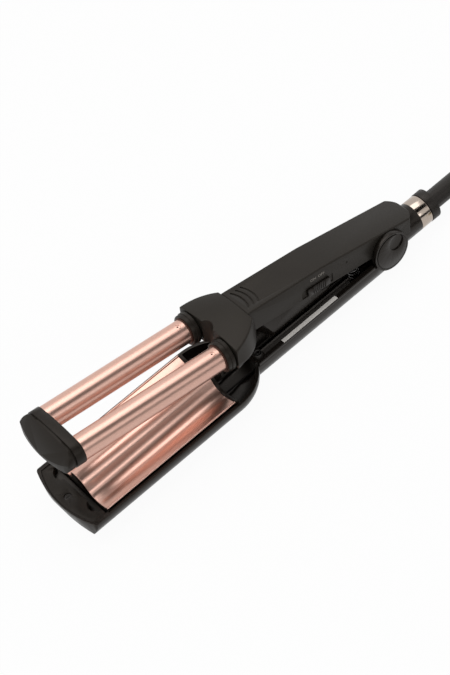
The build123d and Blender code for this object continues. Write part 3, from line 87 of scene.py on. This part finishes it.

# %% [markdown]
# ## The mains cord
# On the real tool a round two-core cord leaves the turning boot, sinks to the table and ends in a two-pin
# plug. Such a cord is about 1.8 m long, and most of it is put away here as a flat coil: turns that lie side
# by side, spiral inwards on the table and come back outwards on top. One smooth NURBS line carries all of
# it. Only the free stretches are given one by one; the turns come from a loop, a point for each short piece
# of turn.

# %% Cord route
cord_radius = 3.5 * MM
turn_pitch = 7.3 * MM
outer_turn = 50.0 * MM
turns_each_way = 3
points_per_turn = 24
coil_x = 200 * MM
coil_y = 31.5 * MM - outer_turn
lead_in = [(105.6, 0, 15.15), (127, 0.8, 13.8), (152, 12, 6.2), (174, 29.5, 3.6)]
lead_out = [(183, -68.5, 10.2), (165, -65.5, 8.8), (146, -56.0, 7.2), (126, -54.5, 6.85)]


def coil_point(angle, radius, z):
    return coil_x + radius * sin(angle), coil_y + radius * cos(angle), z


coil_points = []
steps = turns_each_way * points_per_turn
for step in range(steps + 1):
    radius = outer_turn - turn_pitch * step / points_per_turn
    lift = max(0, step - steps + points_per_turn / 2) / (points_per_turn / 2)
    coil_points.append(coil_point(2 * pi * step / points_per_turn, radius, cord_radius + turn_pitch * lift))
inner_turn = outer_turn - turns_each_way * turn_pitch
way_out = steps + points_per_turn // 2
for step in range(1, way_out + 1):
    radius = inner_turn + (outer_turn - inner_turn) * step / way_out
    angle = 2 * pi * (steps + step) / points_per_turn
    coil_points.append(coil_point(angle, radius, cord_radius + turn_pitch))
cord_points = [Vector(point) * MM for point in lead_in]
cord_points += [Vector(point) for point in coil_points]
cord_points += [Vector(point) * MM for point in lead_out]
print(len(cord_points), "points on the cord's line")

# %% Cord
line = bpy.data.curves.new("mains_cord_line", "CURVE")
line.dimensions = "3D"
spline = line.splines.new("NURBS")
spline.points.add(len(cord_points) - 1)
for control, place in zip(spline.points, cord_points):
    control.co = (*place, 1)
    # A point's radius is 1 m unless it is set, and the curve's box counts it, so it holds the cord's radius
    control.radius = cord_radius
spline.order_u = 3
spline.use_endpoint_u = True
spline.resolution_u = 4
line.bevel_depth = 1
line.bevel_resolution = 5
line.use_fill_caps = True
cord = bpy.data.objects.new("mains_cord_line", line)
bpy.context.scene.collection.objects.link(cord)


def line_length(curve_object):
    bare = curve_object.data.copy()
    bare.bevel_depth = 0
    probe = bpy.data.objects.new("probe", bare)
    bpy.context.scene.collection.objects.link(probe)
    bpy.context.view_layer.update()
    mesh = bpy.data.meshes.new_from_object(probe.evaluated_get(bpy.context.evaluated_depsgraph_get()))
    places = [vertex.co for vertex in mesh.vertices]
    length = sum((places[edge.vertices[0]] - places[edge.vertices[1]]).length for edge in mesh.edges)
    bpy.data.objects.remove(probe)
    bpy.data.meshes.remove(mesh)
    bpy.data.curves.remove(bare)
    return length


cord_length = line_length(cord)
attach(cord, "lower_arm")
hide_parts("mains_cord", "cord_coil", "cord_tail")
print("cord", round(cord_length, 3), "m")

# %% [markdown]
# ## Colour and nodes
# Colours are written as the hex values a picture program shows and turned to linear light by one function.
# One more function adds a shader node with its settings and links, so each finish below reads as a short
# recipe.


# %% Colour and node helpers
def linear(hex_colour):
    values = [int(hex_colour[i:i + 2], 16) / 255 for i in (1, 3, 5)]
    return [v / 12.92 if v <= 0.04045 else ((v + 0.055) / 1.055) ** 2.4 for v in values] + [1]


def add_node(tree, kind, settings=None, values=None, links=None):
    """Adds a node, sets its properties and socket values, and links other nodes' outputs to its inputs."""
    node = tree.nodes.new(kind)
    for name, value in (settings or {}).items():
        setattr(node, name, value)
    for name, value in (values or {}).items():
        node.inputs[name].default_value = value
    for name, output in (links or {}).items():
        tree.links.new(output, node.inputs[name])
    return node


def new_finish(name):
    material = bpy.data.materials.new(name)
    material.use_nodes = True
    tree = material.node_tree
    tree.nodes.clear()
    place = add_node(tree, "ShaderNodeTexCoord").outputs["Object"]
    return material, tree, place


def close_finish(tree, shader):
    add_node(tree, "ShaderNodeOutputMaterial", links={"Surface": shader.outputs[0]})


# %% [markdown]
# ## Moulded plastics
# The housings are ABS, moulded in a spark-eroded tool: black, with a fine grain that breaks up the
# highlights. The upper shell and head feel softer and look a shade lighter, because they are lacquered with
# soft-touch paint. The parts next to the hot metal are glass-filled nylon, which moulds with a dull,
# slightly cloudy skin. All three share a recipe: a base colour that wanders a little, a roughness that
# wanders with it, and a bump from a fine grain.


# %% Plastic recipe
def moulded_plastic(name, dark, light, roughness, grain_mm, grain_height_mm, cloud_mm, shine=0.35):
    material, tree, place = new_finish(name)
    grain = add_node(tree, "ShaderNodeTexNoise", values={"Scale": 1 / (grain_mm * MM), "Detail": 2.0},
                     links={"Vector": place})
    cloud = add_node(tree, "ShaderNodeTexNoise", values={"Scale": 1 / (cloud_mm * MM), "Detail": 3.0},
                     links={"Vector": place})
    colour = add_node(tree, "ShaderNodeMix", settings={"data_type": "RGBA"},
                      links={"Factor": cloud.outputs["Fac"]})
    colour.inputs["A"].default_value = linear(dark)
    colour.inputs["B"].default_value = linear(light)
    gloss = add_node(tree, "ShaderNodeMapRange",
                     values={"To Min": roughness - 0.05, "To Max": roughness + 0.07},
                     links={"Value": cloud.outputs["Fac"]})
    bump = add_node(tree, "ShaderNodeBump", values={"Strength": 0.35, "Distance": grain_height_mm * MM},
                    links={"Height": grain.outputs["Fac"]})
    warm_gloss = linear("#fff4ea")
    shader = add_node(tree, "ShaderNodeBsdfPrincipled",
                      values={"IOR": 1.5, "Specular IOR Level": shine, "Specular Tint": warm_gloss},
                      links={"Base Color": colour.outputs["Result"], "Roughness": gloss.outputs["Result"],
                             "Normal": bump.outputs["Normal"]})
    close_finish(tree, shader)
    return material


satin_abs = moulded_plastic("satin_abs", "#13100d", "#1a1613", 0.28, 0.5, 0.015, 14, 0.25)
soft_touch_lacquer = moulded_plastic("soft_touch_lacquer", "#24211e", "#2c2925", 0.42, 0.35, 0.012, 18, 0.16)
filled_nylon = moulded_plastic("filled_nylon", "#1a1714", "#221e1a", 0.4, 0.6, 0.02, 8, 0.18)
component_plastic = moulded_plastic("component_plastic", "#17181a", "#222327", 0.45, 0.8, 0.02, 5)
print("plastics:", satin_abs.name, soft_touch_lacquer.name, filled_nylon.name)

# %% [markdown]
# ## Rose-gold coating
# Barrels and wave plate are aluminium with a sprayed and fired coating that holds metal flakes in a
# pink-gold tint. It is a metal to the eye, satin, with a soft glitter where single flakes face the light.
# Flakes are about 0.1 mm, too fine to show, so they are drawn at 0.5 mm as small steps of tint and height.
# A broader noise shifts the roughness a little along the metal.


# %% Rose gold
def rose_gold_coating():
    material, tree, place = new_finish("rose_gold_coating")
    flakes = add_node(tree, "ShaderNodeTexVoronoi", values={"Scale": 1 / (0.5 * MM)}, links={"Vector": place})
    drift = add_node(tree, "ShaderNodeTexNoise", values={"Scale": 1 / (22 * MM), "Detail": 3.0},
                     links={"Vector": place})
    flake_light = add_node(tree, "ShaderNodeSeparateColor", links={"Color": flakes.outputs["Color"]})
    tint = add_node(tree, "ShaderNodeMix", settings={"data_type": "RGBA"},
                    links={"Factor": flake_light.outputs["Red"]})
    tint.inputs["A"].default_value = linear("#cda596")
    tint.inputs["B"].default_value = linear("#d8b0a1")
    satin = add_node(tree, "ShaderNodeMapRange", values={"To Min": 0.3, "To Max": 0.36},
                     links={"Value": drift.outputs["Fac"]})
    bump = add_node(tree, "ShaderNodeBump", values={"Strength": 0.12, "Distance": 0.02 * MM},
                    links={"Height": flake_light.outputs["Green"]})
    shader = add_node(tree, "ShaderNodeBsdfPrincipled", values={"Metallic": 1.0},
                      links={"Base Color": tint.outputs["Result"], "Roughness": satin.outputs["Result"],
                             "Normal": bump.outputs["Normal"]})
    close_finish(tree, shader)
    return material


rose_gold = rose_gold_coating()
print("coating:", rose_gold.name)

# %% [markdown]
# ## Bare metals
# The swivel ring is nickel-plated brass, turned and polished, so its highlights are sharp and ring-shaped.
# Pin and spring are zinc-plated steel, and the screws are blackened. The foil strip is rolled aluminium
# with its rolling lines along the strip; its near-white colour with hardly any metal in it is painted
# brightness, a painted reflection that also lightens it against the shade under the arm. A stretched noise
# gives each its lines: long across the lines' spacing, short along it.


# %% Metal recipe
def worked_metal(name, dark, light, roughness, line_mm, stretch, height_mm, metallic=1.0):
    """stretch says how many times longer the lines are than wide, along X, Y and Z."""
    material, tree, place = new_finish(name)
    squeezed = add_node(tree, "ShaderNodeMapping", links={"Vector": place})
    squeezed.inputs["Scale"].default_value = [1 / value for value in stretch]
    lines = add_node(tree, "ShaderNodeTexNoise", values={"Scale": 1 / (line_mm * MM), "Detail": 3.0},
                     links={"Vector": squeezed.outputs["Vector"]})
    colour = add_node(tree, "ShaderNodeMix", settings={"data_type": "RGBA"},
                      links={"Factor": lines.outputs["Fac"]})
    colour.inputs["A"].default_value = linear(dark)
    colour.inputs["B"].default_value = linear(light)
    gloss = add_node(tree, "ShaderNodeMapRange",
                     values={"To Min": roughness * 0.8, "To Max": roughness * 1.3},
                     links={"Value": lines.outputs["Fac"]})
    bump = add_node(tree, "ShaderNodeBump", values={"Strength": 0.2, "Distance": height_mm * MM},
                    links={"Height": lines.outputs["Fac"]})
    shader = add_node(tree, "ShaderNodeBsdfPrincipled", values={"Metallic": metallic},
                      links={"Base Color": colour.outputs["Result"], "Roughness": gloss.outputs["Result"],
                             "Normal": bump.outputs["Normal"]})
    close_finish(tree, shader)
    return material


polished_nickel = worked_metal("polished_nickel", "#a5988c", "#b8aca1", 0.16, 0.3, (1, 12, 12), 0.003)
zinc_steel = worked_metal("zinc_steel", "#6b6a69", "#83817f", 0.32, 0.6, (1, 1, 1), 0.004)
blackened_steel = worked_metal("blackened_steel", "#2c2a29", "#3d3a38", 0.32, 0.6, (1, 1, 1), 0.004)
# The foil's colour is painted light: nearly white and almost without metal, it paints in the bright
# reflection of foil and lightens the strip against the shade under the arm.
foil_painted_bright = worked_metal("foil_painted_bright", "#efeae4", "#f8f4ee", 0.5, 0.25, (40, 1, 1), 0.004, 0.05)
cast_aluminium = worked_metal("cast_aluminium", "#b9babb", "#cfd0d0", 0.45, 0.9, (1, 1, 1), 0.03)
plated_brass = worked_metal("plated_brass", "#c9b98f", "#d9cba3", 0.2, 0.4, (8, 1, 1), 0.003)
print("metals:", polished_nickel.name, zinc_steel.name, foil_painted_bright.name)

# %% [markdown]
# ## Cord, ceramic and board
# The cord's sheath is extruded PVC, dull and a little cloudy. Heaters are sintered alumina, white and
# slightly grainy. The circuit board is green glass-epoxy laminate under a satin lacquer. The leads wear a
# braided glass-fibre sleeve, the dullest of the four. All of them use the plastic recipe with other values.

# %% Cord sheath, ceramic, laminate, sleeve
pvc_sheath = moulded_plastic("pvc_sheath", "#141312", "#1c1a19", 0.46, 1.1, 0.03, 9)
sintered_alumina = moulded_plastic("sintered_alumina", "#e4e1da", "#f0ede6", 0.55, 0.7, 0.02, 6)
board_laminate = moulded_plastic("board_laminate", "#1d4a2b", "#2a5c38", 0.35, 0.9, 0.01, 3)
glass_sleeve = moulded_plastic("glass_sleeve", "#191817", "#23211f", 0.75, 0.7, 0.05, 4)
cord.data.materials.append(pvc_sheath)

# %% [markdown]
# ## Dressing the solids
# Each solid keeps its shape and gets its finish. A mould or a tool never leaves a knife edge, so the solids
# with visible corners also get a weld, which joins their loose triangles, and a bevel of a few tenths of a
# millimetre.

# %% Which solid has which finish
finishes = {
    satin_abs: ["lower_housing", "lower_cover", "inner_cover", "switch_slider", "pin_cap", "lock_knob"],
    soft_touch_lacquer: ["upper_shell", "head_shell"],
    filled_nylon: ["tip_block", "plate_bracket", "cap_base", "end_cap", "barrel_collar_left",
                   "barrel_collar_right", "head_base", "switch_body", "contact_block"],
    pvc_sheath: ["cord_boot", "mains_plug", "mains_cord", "cord_coil", "cord_tail"],
    rose_gold: ["barrel_left", "barrel_right", "wave_plate"],
    foil_painted_bright: ["label_strip"],
    polished_nickel: ["swivel_ring"],
    zinc_steel: ["hinge_pin", "opening_spring", "heater_clamp", "plate_fuse"],
    blackened_steel: ["cover_screws", "tip_screw", "inner_cover_screws"],
    plated_brass: ["plug_pins"],
    cast_aluminium: ["plate_heat_bar", "heat_spreaders_left", "heat_spreaders_right"],
    sintered_alumina: ["plate_heater", "barrel_heater_left", "barrel_heater_right"],
    glass_sleeve: ["plate_leads"],
    board_laminate: ["circuit_board"],
    component_plastic: ["board_parts"],
}
for finish, names in finishes.items():
    for name in names:
        nodes[name].data.materials.clear()
        nodes[name].data.materials.append(finish)
print(sum(len(names) for names in finishes.values()), "solids have a finish")

# %% Soft corners
corner_mm = {
    "lower_housing": 0.5, "lower_cover": 0.3, "inner_cover": 0.5, "switch_slider": 0.25, "pin_cap": 0.3,
    "lock_knob": 0.35, "head_shell": 0.5, "upper_shell": 0.4, "tip_block": 0.45, "plate_bracket": 0.4,
    "cap_base": 0.5, "end_cap": 0.4, "barrel_collar_left": 0.5, "barrel_collar_right": 0.5, "wave_plate": 0.3,
    "cord_boot": 0.5, "mains_plug": 0.4, "plug_pins": 0.2,
    "swivel_ring": 0.15, "cover_screws": 0.12, "tip_screw": 0.12, "inner_cover_screws": 0.12,
}


def soften(solid, width_mm):
    for face in solid.data.polygons:
        face.use_smooth = True
    weld = solid.modifiers.new("weld", "WELD")
    weld.merge_threshold = 0.002 * MM
    bevel = solid.modifiers.new("soft_corners", "BEVEL")
    bevel.width = width_mm * MM
    bevel.segments = 2
    bevel.limit_method = "ANGLE"
    bevel.angle_limit = radians(32)
    bevel.harden_normals = True
    bevel.use_clamp_overlap = True


for name, width_mm in corner_mm.items():
    soften(nodes[name], width_mm)
print(len(corner_mm), "solids have soft corners")

# %% [markdown]
# ## Helpers for new pieces
# Each new piece starts as a bmesh, which Blender's modelling operators can shape. One helper turns a
# finished bmesh into an object with its finish, and says which body carries it; a piece that spans two
# bodies is given none. The other turns an outline about a line along X, as a lathe does, which
# is how rings and bands are made.


# %% Piece and lathe
def keep(name, work, finish, body, smooth_below=35):
    bmesh.ops.remove_doubles(work, verts=work.verts, dist=0.001 * MM)
    bmesh.ops.recalc_face_normals(work, faces=work.faces)
    mesh = bpy.data.meshes.new(name)
    work.to_mesh(mesh)
    work.free()
    for face in mesh.polygons:
        face.use_smooth = True
    mesh.set_sharp_from_angle(angle=radians(smooth_below))
    mesh.materials.append(finish)
    piece = bpy.data.objects.new(name, mesh)
    bpy.context.scene.collection.objects.link(piece)
    if body:
        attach(piece, body)
    return piece


def lathe(work, outline, center):
    """Turns a closed outline of (x, radius) points about the line along X through center, which is (y, z)."""
    rim = [work.verts.new((x, center[0], center[1] + radius)) for x, radius in outline]
    edges = [work.edges.new(pair) for pair in zip(rim, rim[1:] + rim[:1])]
    bmesh.ops.spin(work, geom=rim + edges, cent=(0, *center), axis=(1, 0, 0), angle=2 * pi, steps=72,
                   use_merge=True)


# %% [markdown]
# ## Barrels
# Each barrel is a drawn aluminium tube with a punched hole near its root, where a nib of the collar snaps
# in. The solid's triangles fan out from the hole along the whole tube and would shade unevenly, so the tube
# is made again as a clean net: a circle is extruded in steps along X, the net's vertex at the hole is
# bevelled into a round opening, and solidify gives the sheet its wall. The die leaves a raised half-ring
# beside the hole.

# %% Barrel tubes
barrel_radius = 9.0 * MM
barrel_wall = 1.2 * MM
barrel_z = 28.45 * MM
barrel_sides = {"left": 18.5 * MM, "right": -18.5 * MM}
hole_x = -163.4 * MM
hole_lean = radians(12)
hole_radius = 1.2 * MM
tube_steps = [-273.5, -272, -235, -200, -167.5, -165.2, -163.4, -161.6, -159.5, -152.5]


def drawn_tube(side, y):
    work = bmesh.new()
    ring = bmesh.ops.create_circle(work, segments=40, radius=barrel_radius)["verts"]
    bmesh.ops.rotate(work, matrix=Matrix.Rotation(pi / 2, 3, "Y"), verts=ring)
    bmesh.ops.rotate(work, matrix=Matrix.Rotation(pi / 2 + hole_lean, 3, "X"), verts=ring)
    bmesh.ops.translate(work, vec=(tube_steps[0] * MM, y, barrel_z), verts=ring)
    edges = work.edges[:]
    for before, after in zip(tube_steps, tube_steps[1:]):
        grown = bmesh.ops.extrude_edge_only(work, edges=edges)["geom"]
        edges = [item for item in grown if isinstance(item, bmesh.types.BMEdge)]
        ring = [item for item in grown if isinstance(item, bmesh.types.BMVert)]
        bmesh.ops.translate(work, vec=((after - before) * MM, 0, 0), verts=ring)
    bmesh.ops.recalc_face_normals(work, faces=work.faces)
    hole = Vector((hole_x, y - barrel_radius * sin(hole_lean), barrel_z + barrel_radius * cos(hole_lean)))
    nearest = min(work.verts, key=lambda vertex: (vertex.co - hole).length)
    opened = bmesh.ops.bevel(work, geom=[nearest], offset=hole_radius, affect="VERTICES", segments=4,
                             profile=0.5, material=-1)
    bmesh.ops.delete(work, geom=opened["faces"], context="FACES")
    bmesh.ops.solidify(work, geom=work.faces[:], thickness=barrel_wall)
    reach = [hypot(vertex.co.y - y, vertex.co.z - barrel_z) / MM for vertex in work.verts]
    print("tube", side, "from radius", round(min(reach), 2), "to", round(max(reach), 2), "mm")
    bmesh.ops.transform(work, matrix=arm_open, verts=work.verts)
    tube = keep("barrel_tube_" + side, work, rose_gold, "upper_arm")
    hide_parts("barrel_" + side)
    return hole


hole_places = {side: drawn_tube(side, y) for side, y in barrel_sides.items()}

# %% Raised half-ring at each hole
lip_radius = 2.0 * MM
lip_half_width = 0.32 * MM
lip_sink = 0.08 * MM
for side, hole in hole_places.items():
    work = bmesh.new()
    bmesh.ops.create_circle(work, cap_ends=True, segments=10, radius=lip_half_width)
    bmesh.ops.rotate(work, matrix=Matrix.Rotation(pi / 2, 3, "Y"), verts=work.verts)
    bmesh.ops.translate(work, vec=(0, -lip_radius, -lip_sink), verts=work.verts)
    whole = work.verts[:] + work.edges[:] + work.faces[:]
    bmesh.ops.spin(work, geom=whole, cent=(0, 0, 0), axis=(0, 0, 1), angle=pi, steps=18)
    bmesh.ops.transform(work, matrix=arm_open @ Matrix.Translation(hole) @ Matrix.Rotation(hole_lean, 4, "X"),
                        verts=work.verts)
    keep("hole_lip_" + side, work, rose_gold, "upper_arm")
print("holes at x", round(hole_x / MM, 1), "mm")

# %% [markdown]
# ## Rings at the barrel roots
# Where a barrel enters its collar sit a thin brown gasket, which keeps hair out of the gap, and a raised
# band round the collar's rear half, which gives it its two steps. Both are plain lathe work with small
# bevelled edges.

# %% Gaskets and collar bands
gasket_silicone = moulded_plastic("gasket_silicone", "#3a2019", "#4a2b21", 0.45, 0.5, 0.01, 4, 0.3)
# Outlines are (x, radius) in millimetres
gasket_outline = [(-158.3, 9.06), (-158.3, 9.5), (-158.0, 9.8), (-157.45, 9.8), (-157.45, 9.06)]
band_outline = [(-154.6, 11.2), (-154.6, 11.7), (-154.3, 11.95),
                (-152.1, 11.95), (-151.8, 11.7), (-151.8, 11.2)]
for side, y in barrel_sides.items():
    rings = {
        "root_gasket_": (gasket_silicone, gasket_outline),
        "collar_band_": (filled_nylon, band_outline),
    }
    for name, (finish, outline) in rings.items():
        work = bmesh.new()
        lathe(work, [(x * MM, radius * MM) for x, radius in outline], (y, barrel_z))
        bmesh.ops.transform(work, matrix=arm_open, verts=work.verts)
        keep(name + side, work, finish, "upper_arm")
print("two gaskets, two bands")

# %% [markdown]
# ## Hem of the wave plate
# The plate is pressed from sheet, and its long edges are hemmed: folded back into a thin round bead, so
# that no sharp edge meets the hair. The bead catches the light as a bright line. It is a circle extruded
# along X.

# %% Hem beads
plate_front_x = -273.5 * MM
plate_rear_x = -160.4 * MM
plate_half_width = 31.3 * MM
hem_z = 22.6 * MM
hem_radius = 0.65 * MM
for side, y in (("far", plate_half_width), ("near", -plate_half_width)):
    work = bmesh.new()
    bmesh.ops.create_circle(work, cap_ends=True, segments=16, radius=hem_radius)
    bmesh.ops.rotate(work, matrix=Matrix.Rotation(pi / 2, 3, "Y"), verts=work.verts)
    bmesh.ops.translate(work, vec=(plate_front_x, y, hem_z), verts=work.verts)
    grown = bmesh.ops.extrude_face_region(work, geom=work.faces[:])["geom"]
    ends = [item for item in grown if isinstance(item, bmesh.types.BMVert)]
    bmesh.ops.translate(work, vec=(plate_rear_x - plate_front_x, 0, 0), verts=ends)
    keep("plate_hem_" + side, work, rose_gold, "lower_arm")
print("hems", round((plate_rear_x - plate_front_x) / MM, 1), "mm long")

# %% [markdown]
# ## Opening spring
# A coil spring under the handle pushes the jaw open. Its lower end rests on the lower arm and its upper end
# goes with the upper arm, so as a rigid piece it would poke through the handle when the jaw closes. A
# circle is spun round with a small rise at each step; the spring is carried by no body, and its place is
# baked into its mesh.

# %% Spring
spring_x = -24.0 * MM
spring_radius = 4.2 * MM
spring_wire_radius = 0.6 * MM
spring_floor_z = 5.0 * MM
spring_seat_z = 31.6 * MM
spring_turns = 8
spring_steps = spring_turns * 20
spring_rise = spring_seat_z - spring_floor_z - 2 * spring_wire_radius
spring_start = (spring_x + spring_radius, 0, spring_floor_z + spring_wire_radius)
work = bmesh.new()
bmesh.ops.create_circle(work, segments=10, radius=spring_wire_radius)
bmesh.ops.rotate(work, matrix=Matrix.Rotation(pi / 2, 3, "X"), verts=work.verts)
bmesh.ops.translate(work, vec=spring_start, verts=work.verts)
bmesh.ops.spin(work, geom=work.verts[:] + work.edges[:], cent=(spring_x, 0, 0), axis=(0, 0, 1),
               dvec=(0, 0, spring_rise / spring_steps), angle=2 * pi * spring_turns, steps=spring_steps)
bmesh.ops.holes_fill(work, edges=[edge for edge in work.edges if edge.is_boundary])
heights = [vertex.co.z / MM for vertex in work.verts]
spring = keep("coil_spring", work, zinc_steel, None)
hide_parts("opening_spring")
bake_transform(spring)
print("spring from z", round(min(heights), 2), "to", round(max(heights), 2), "mm")

# %% [markdown]
# ## Switch lettering and lamp
# ON and OFF are printed beside the slider with thin grey ink. Text starts as a font curve, is made a mesh,
# and is then laid on the handle's near flank. A small dark lens behind the switch covers the pilot lamp.

# %% Lettering
printing_ink = moulded_plastic("printing_ink", "#7d7872", "#8e8982", 0.5, 0.4, 0.005, 5)
letter_size = 3.3 * MM
letter_relief = 0.05 * MM
letter_z = 37.2 * MM
capital_share = 0.7
flank_front_x = -126.5
flank_rear_x = 28.4


def flank_y(x_mm):
    """How far out the near flank lies: it narrows from 14.6 to 13.8 mm."""
    share = (x_mm - flank_front_x) / (flank_rear_x - flank_front_x)
    return -(14.6 - 0.8 * share) * MM


for word, x_mm in (("ON", -71.5), ("OFF", -64.5)):
    letters = bpy.data.curves.new("letters", "FONT")
    letters.body = word
    letters.size = letter_size
    letters.extrude = letter_relief
    holder = bpy.data.objects.new("letters", letters)
    bpy.context.scene.collection.objects.link(holder)
    flat = bpy.data.meshes.new_from_object(holder.evaluated_get(bpy.context.evaluated_depsgraph_get()))
    bpy.data.objects.remove(holder)
    work = bmesh.new()
    work.from_mesh(flat)
    bpy.data.meshes.remove(flat)
    lay = Matrix.Translation((x_mm * MM, flank_y(x_mm), letter_z)) @ Matrix.Rotation(pi / 2, 4, "X")
    bmesh.ops.transform(work, matrix=arm_open @ lay, verts=work.verts)
    keep("lettering_" + word.lower(), work, printing_ink, "upper_arm")
print("lettering", round(letter_size * capital_share / MM, 2), "mm high")

# %% Pilot lamp lens
lens_radius = 0.9 * MM
lens_x_mm = -38
lens_z = 34 * MM
work = bmesh.new()
bmesh.ops.create_uvsphere(work, u_segments=24, v_segments=12, radius=lens_radius)
bmesh.ops.scale(work, vec=(1, 0.5, 1), verts=work.verts)
bmesh.ops.translate(work, vec=(lens_x_mm * MM, flank_y(lens_x_mm), lens_z), verts=work.verts)
bmesh.ops.transform(work, matrix=arm_open, verts=work.verts)
keep("pilot_lens", work, satin_abs, "upper_arm")

# %% [markdown]
# ## Tie round the coil
# A coil put away for storage is held by a flat strap. The strap is a rectangle of edges round the turns
# with its corners rounded by a bevel, widened by one extrusion, and given its thickness by solidify.

# %% Strap
strap_width = 6 * MM
strap_slack = 0.6 * MM
strap_thickness = 0.4 * MM
strap_corner = 2.5 * MM
strap_reach = (inner_turn - cord_radius - strap_slack, outer_turn + cord_radius + strap_slack)
strap_top = 2 * cord_radius + turn_pitch + strap_thickness
strap_bottom = 0.45 * MM
work = bmesh.new()
corners = [(strap_reach[0], strap_bottom), (strap_reach[1], strap_bottom), (strap_reach[1], strap_top),
           (strap_reach[0], strap_top)]
loop = [work.verts.new((coil_x - strap_width / 2, coil_y - reach, z)) for reach, z in corners]
for pair in zip(loop, loop[1:] + loop[:1]):
    work.edges.new(pair)
bmesh.ops.bevel(work, geom=loop, offset=strap_corner, affect="VERTICES", segments=5, profile=0.5, material=-1)
grown = bmesh.ops.extrude_edge_only(work, edges=work.edges[:])["geom"]
edge_verts = [item for item in grown if isinstance(item, bmesh.types.BMVert)]
bmesh.ops.translate(work, vec=(strap_width, 0, 0), verts=edge_verts)
bmesh.ops.recalc_face_normals(work, faces=work.faces)
bmesh.ops.solidify(work, geom=work.faces[:], thickness=strap_thickness)
keep("coil_strap", work, pvc_sheath, "lower_arm")
print("strap", round((strap_reach[1] - strap_reach[0]) / MM, 1), "mm across")

# %% [markdown]
# ## Table and light
# A pale table and a white surround, with broad, soft lamps: one over the top and one low from the near
# side. Polished and satin metal needs something dark to mirror as well, or it looks like paint, so a dark
# card hangs between the two lamps and another below the near one, where only mirror rays see them. They
# draw the streaks along each barrel.

# %% Table
bpy.context.scene.view_settings.view_transform = "Standard"
table_mesh = bpy.data.meshes.new("table")
sheet = bmesh.new()
bmesh.ops.create_grid(sheet, x_segments=1, y_segments=1, size=6)
sheet.to_mesh(table_mesh)
sheet.free()
table = bpy.data.objects.new("table", table_mesh)
bpy.context.scene.collection.objects.link(table)


def table_top():
    material, tree = new_finish("table_top")[:2]
    rays = add_node(tree, "ShaderNodeLightPath")
    seen = add_node(tree, "ShaderNodeMath", settings={"operation": "MAXIMUM"})
    tree.links.new(rays.outputs["Is Camera Ray"], seen.inputs[0])
    tree.links.new(rays.outputs["Is Glossy Ray"], seen.inputs[1])
    share = add_node(tree, "ShaderNodeMath", settings={"operation": "MULTIPLY"})
    tree.links.new(seen.outputs[0], share.inputs[0])
    share.inputs[1].default_value = 0.95
    paint = add_node(tree, "ShaderNodeBsdfDiffuse", values={"Color": linear("#f2f2f2")})
    glow = add_node(tree, "ShaderNodeEmission", values={"Color": linear("#ffffff"), "Strength": 1.0})
    mixed = add_node(tree, "ShaderNodeMixShader",
                     links={0: share.outputs[0], 1: paint.outputs[0], 2: glow.outputs[0]})
    close_finish(tree, mixed)
    return material


table_mesh.materials.append(table_top())

# %% Surround
world = bpy.data.worlds.new("surround")
bpy.context.scene.world = world
world.use_nodes = True
surround = world.node_tree
surround.nodes.clear()
rays = add_node(surround, "ShaderNodeLightPath")
mirror_rays = add_node(surround, "ShaderNodeMath", settings={"operation": "MAXIMUM"})
surround.links.new(rays.outputs["Is Glossy Ray"], mirror_rays.inputs[0])
surround.links.new(rays.outputs["Is Transmission Ray"], mirror_rays.inputs[1])
seen = add_node(surround, "ShaderNodeMath", settings={"operation": "MAXIMUM"})
surround.links.new(rays.outputs["Is Camera Ray"], seen.inputs[0])
surround.links.new(mirror_rays.outputs[0], seen.inputs[1])
room = add_node(surround, "ShaderNodeBackground", values={"Color": linear("#ffffff"), "Strength": 0.45})
white = add_node(surround, "ShaderNodeBackground", values={"Color": linear("#ffffff"), "Strength": 1.0})
both = add_node(surround, "ShaderNodeMixShader",
                links={0: seen.outputs[0], 1: room.outputs[0], 2: white.outputs[0]})
add_node(surround, "ShaderNodeOutputWorld", links={"Surface": both.outputs[0]})


# %% Lamps
def lamp(name, place, aim, width, height, watts):
    data = bpy.data.lights.new(name, "AREA")
    data.shape = "RECTANGLE"
    data.size = width
    data.size_y = height
    data.energy = watts
    holder = bpy.data.objects.new(name, data)
    toward = (Vector(aim) - Vector(place)).to_track_quat("-Z", "Y")
    holder.matrix_world = Matrix.Translation(place) @ toward.to_matrix().to_4x4()
    bpy.context.scene.collection.objects.link(holder)
    return holder


lamp("overhead", (-0.1, 0.3, 1.5), (-0.13, 0, 0), 1.8, 1.1, 11.5)
lamp("near_side", (-0.4, -1.4, 0.75), (-0.13, 0, 0), 1.6, 0.36, 3.2)


card_length = 2.4


def dark_card(name, bearing, reach, width):
    """A long card over the arms; bearing is its angle from +Y up to +Z, seen from the arms."""
    sheet = bmesh.new()
    bmesh.ops.create_grid(sheet, x_segments=1, y_segments=1, size=0.5)
    bmesh.ops.scale(sheet, vec=(card_length, width, 1), verts=sheet.verts)
    bmesh.ops.rotate(sheet, matrix=Matrix.Rotation(bearing + pi / 2, 3, "X"), verts=sheet.verts)
    middle = Vector((-0.2, reach * cos(bearing), reach * sin(bearing)))
    bmesh.ops.translate(sheet, vec=middle, verts=sheet.verts)
    mesh = bpy.data.meshes.new(name)
    sheet.to_mesh(mesh)
    sheet.free()
    mesh.materials.append(card_black)
    card = bpy.data.objects.new(name, mesh)
    bpy.context.scene.collection.objects.link(card)
    card.visible_camera = False
    card.visible_diffuse = False
    card.visible_shadow = False


card_black, card_tree = new_finish("card_black")[:2]
close_finish(card_tree, add_node(card_tree, "ShaderNodeBsdfDiffuse", values={"Color": linear("#0a0a0a")}))
dark_card("streak_card", radians(118), 1.0, 0.6)
dark_card("flank_card", radians(176), 1.0, 0.42)
print("two lamps and two cards")
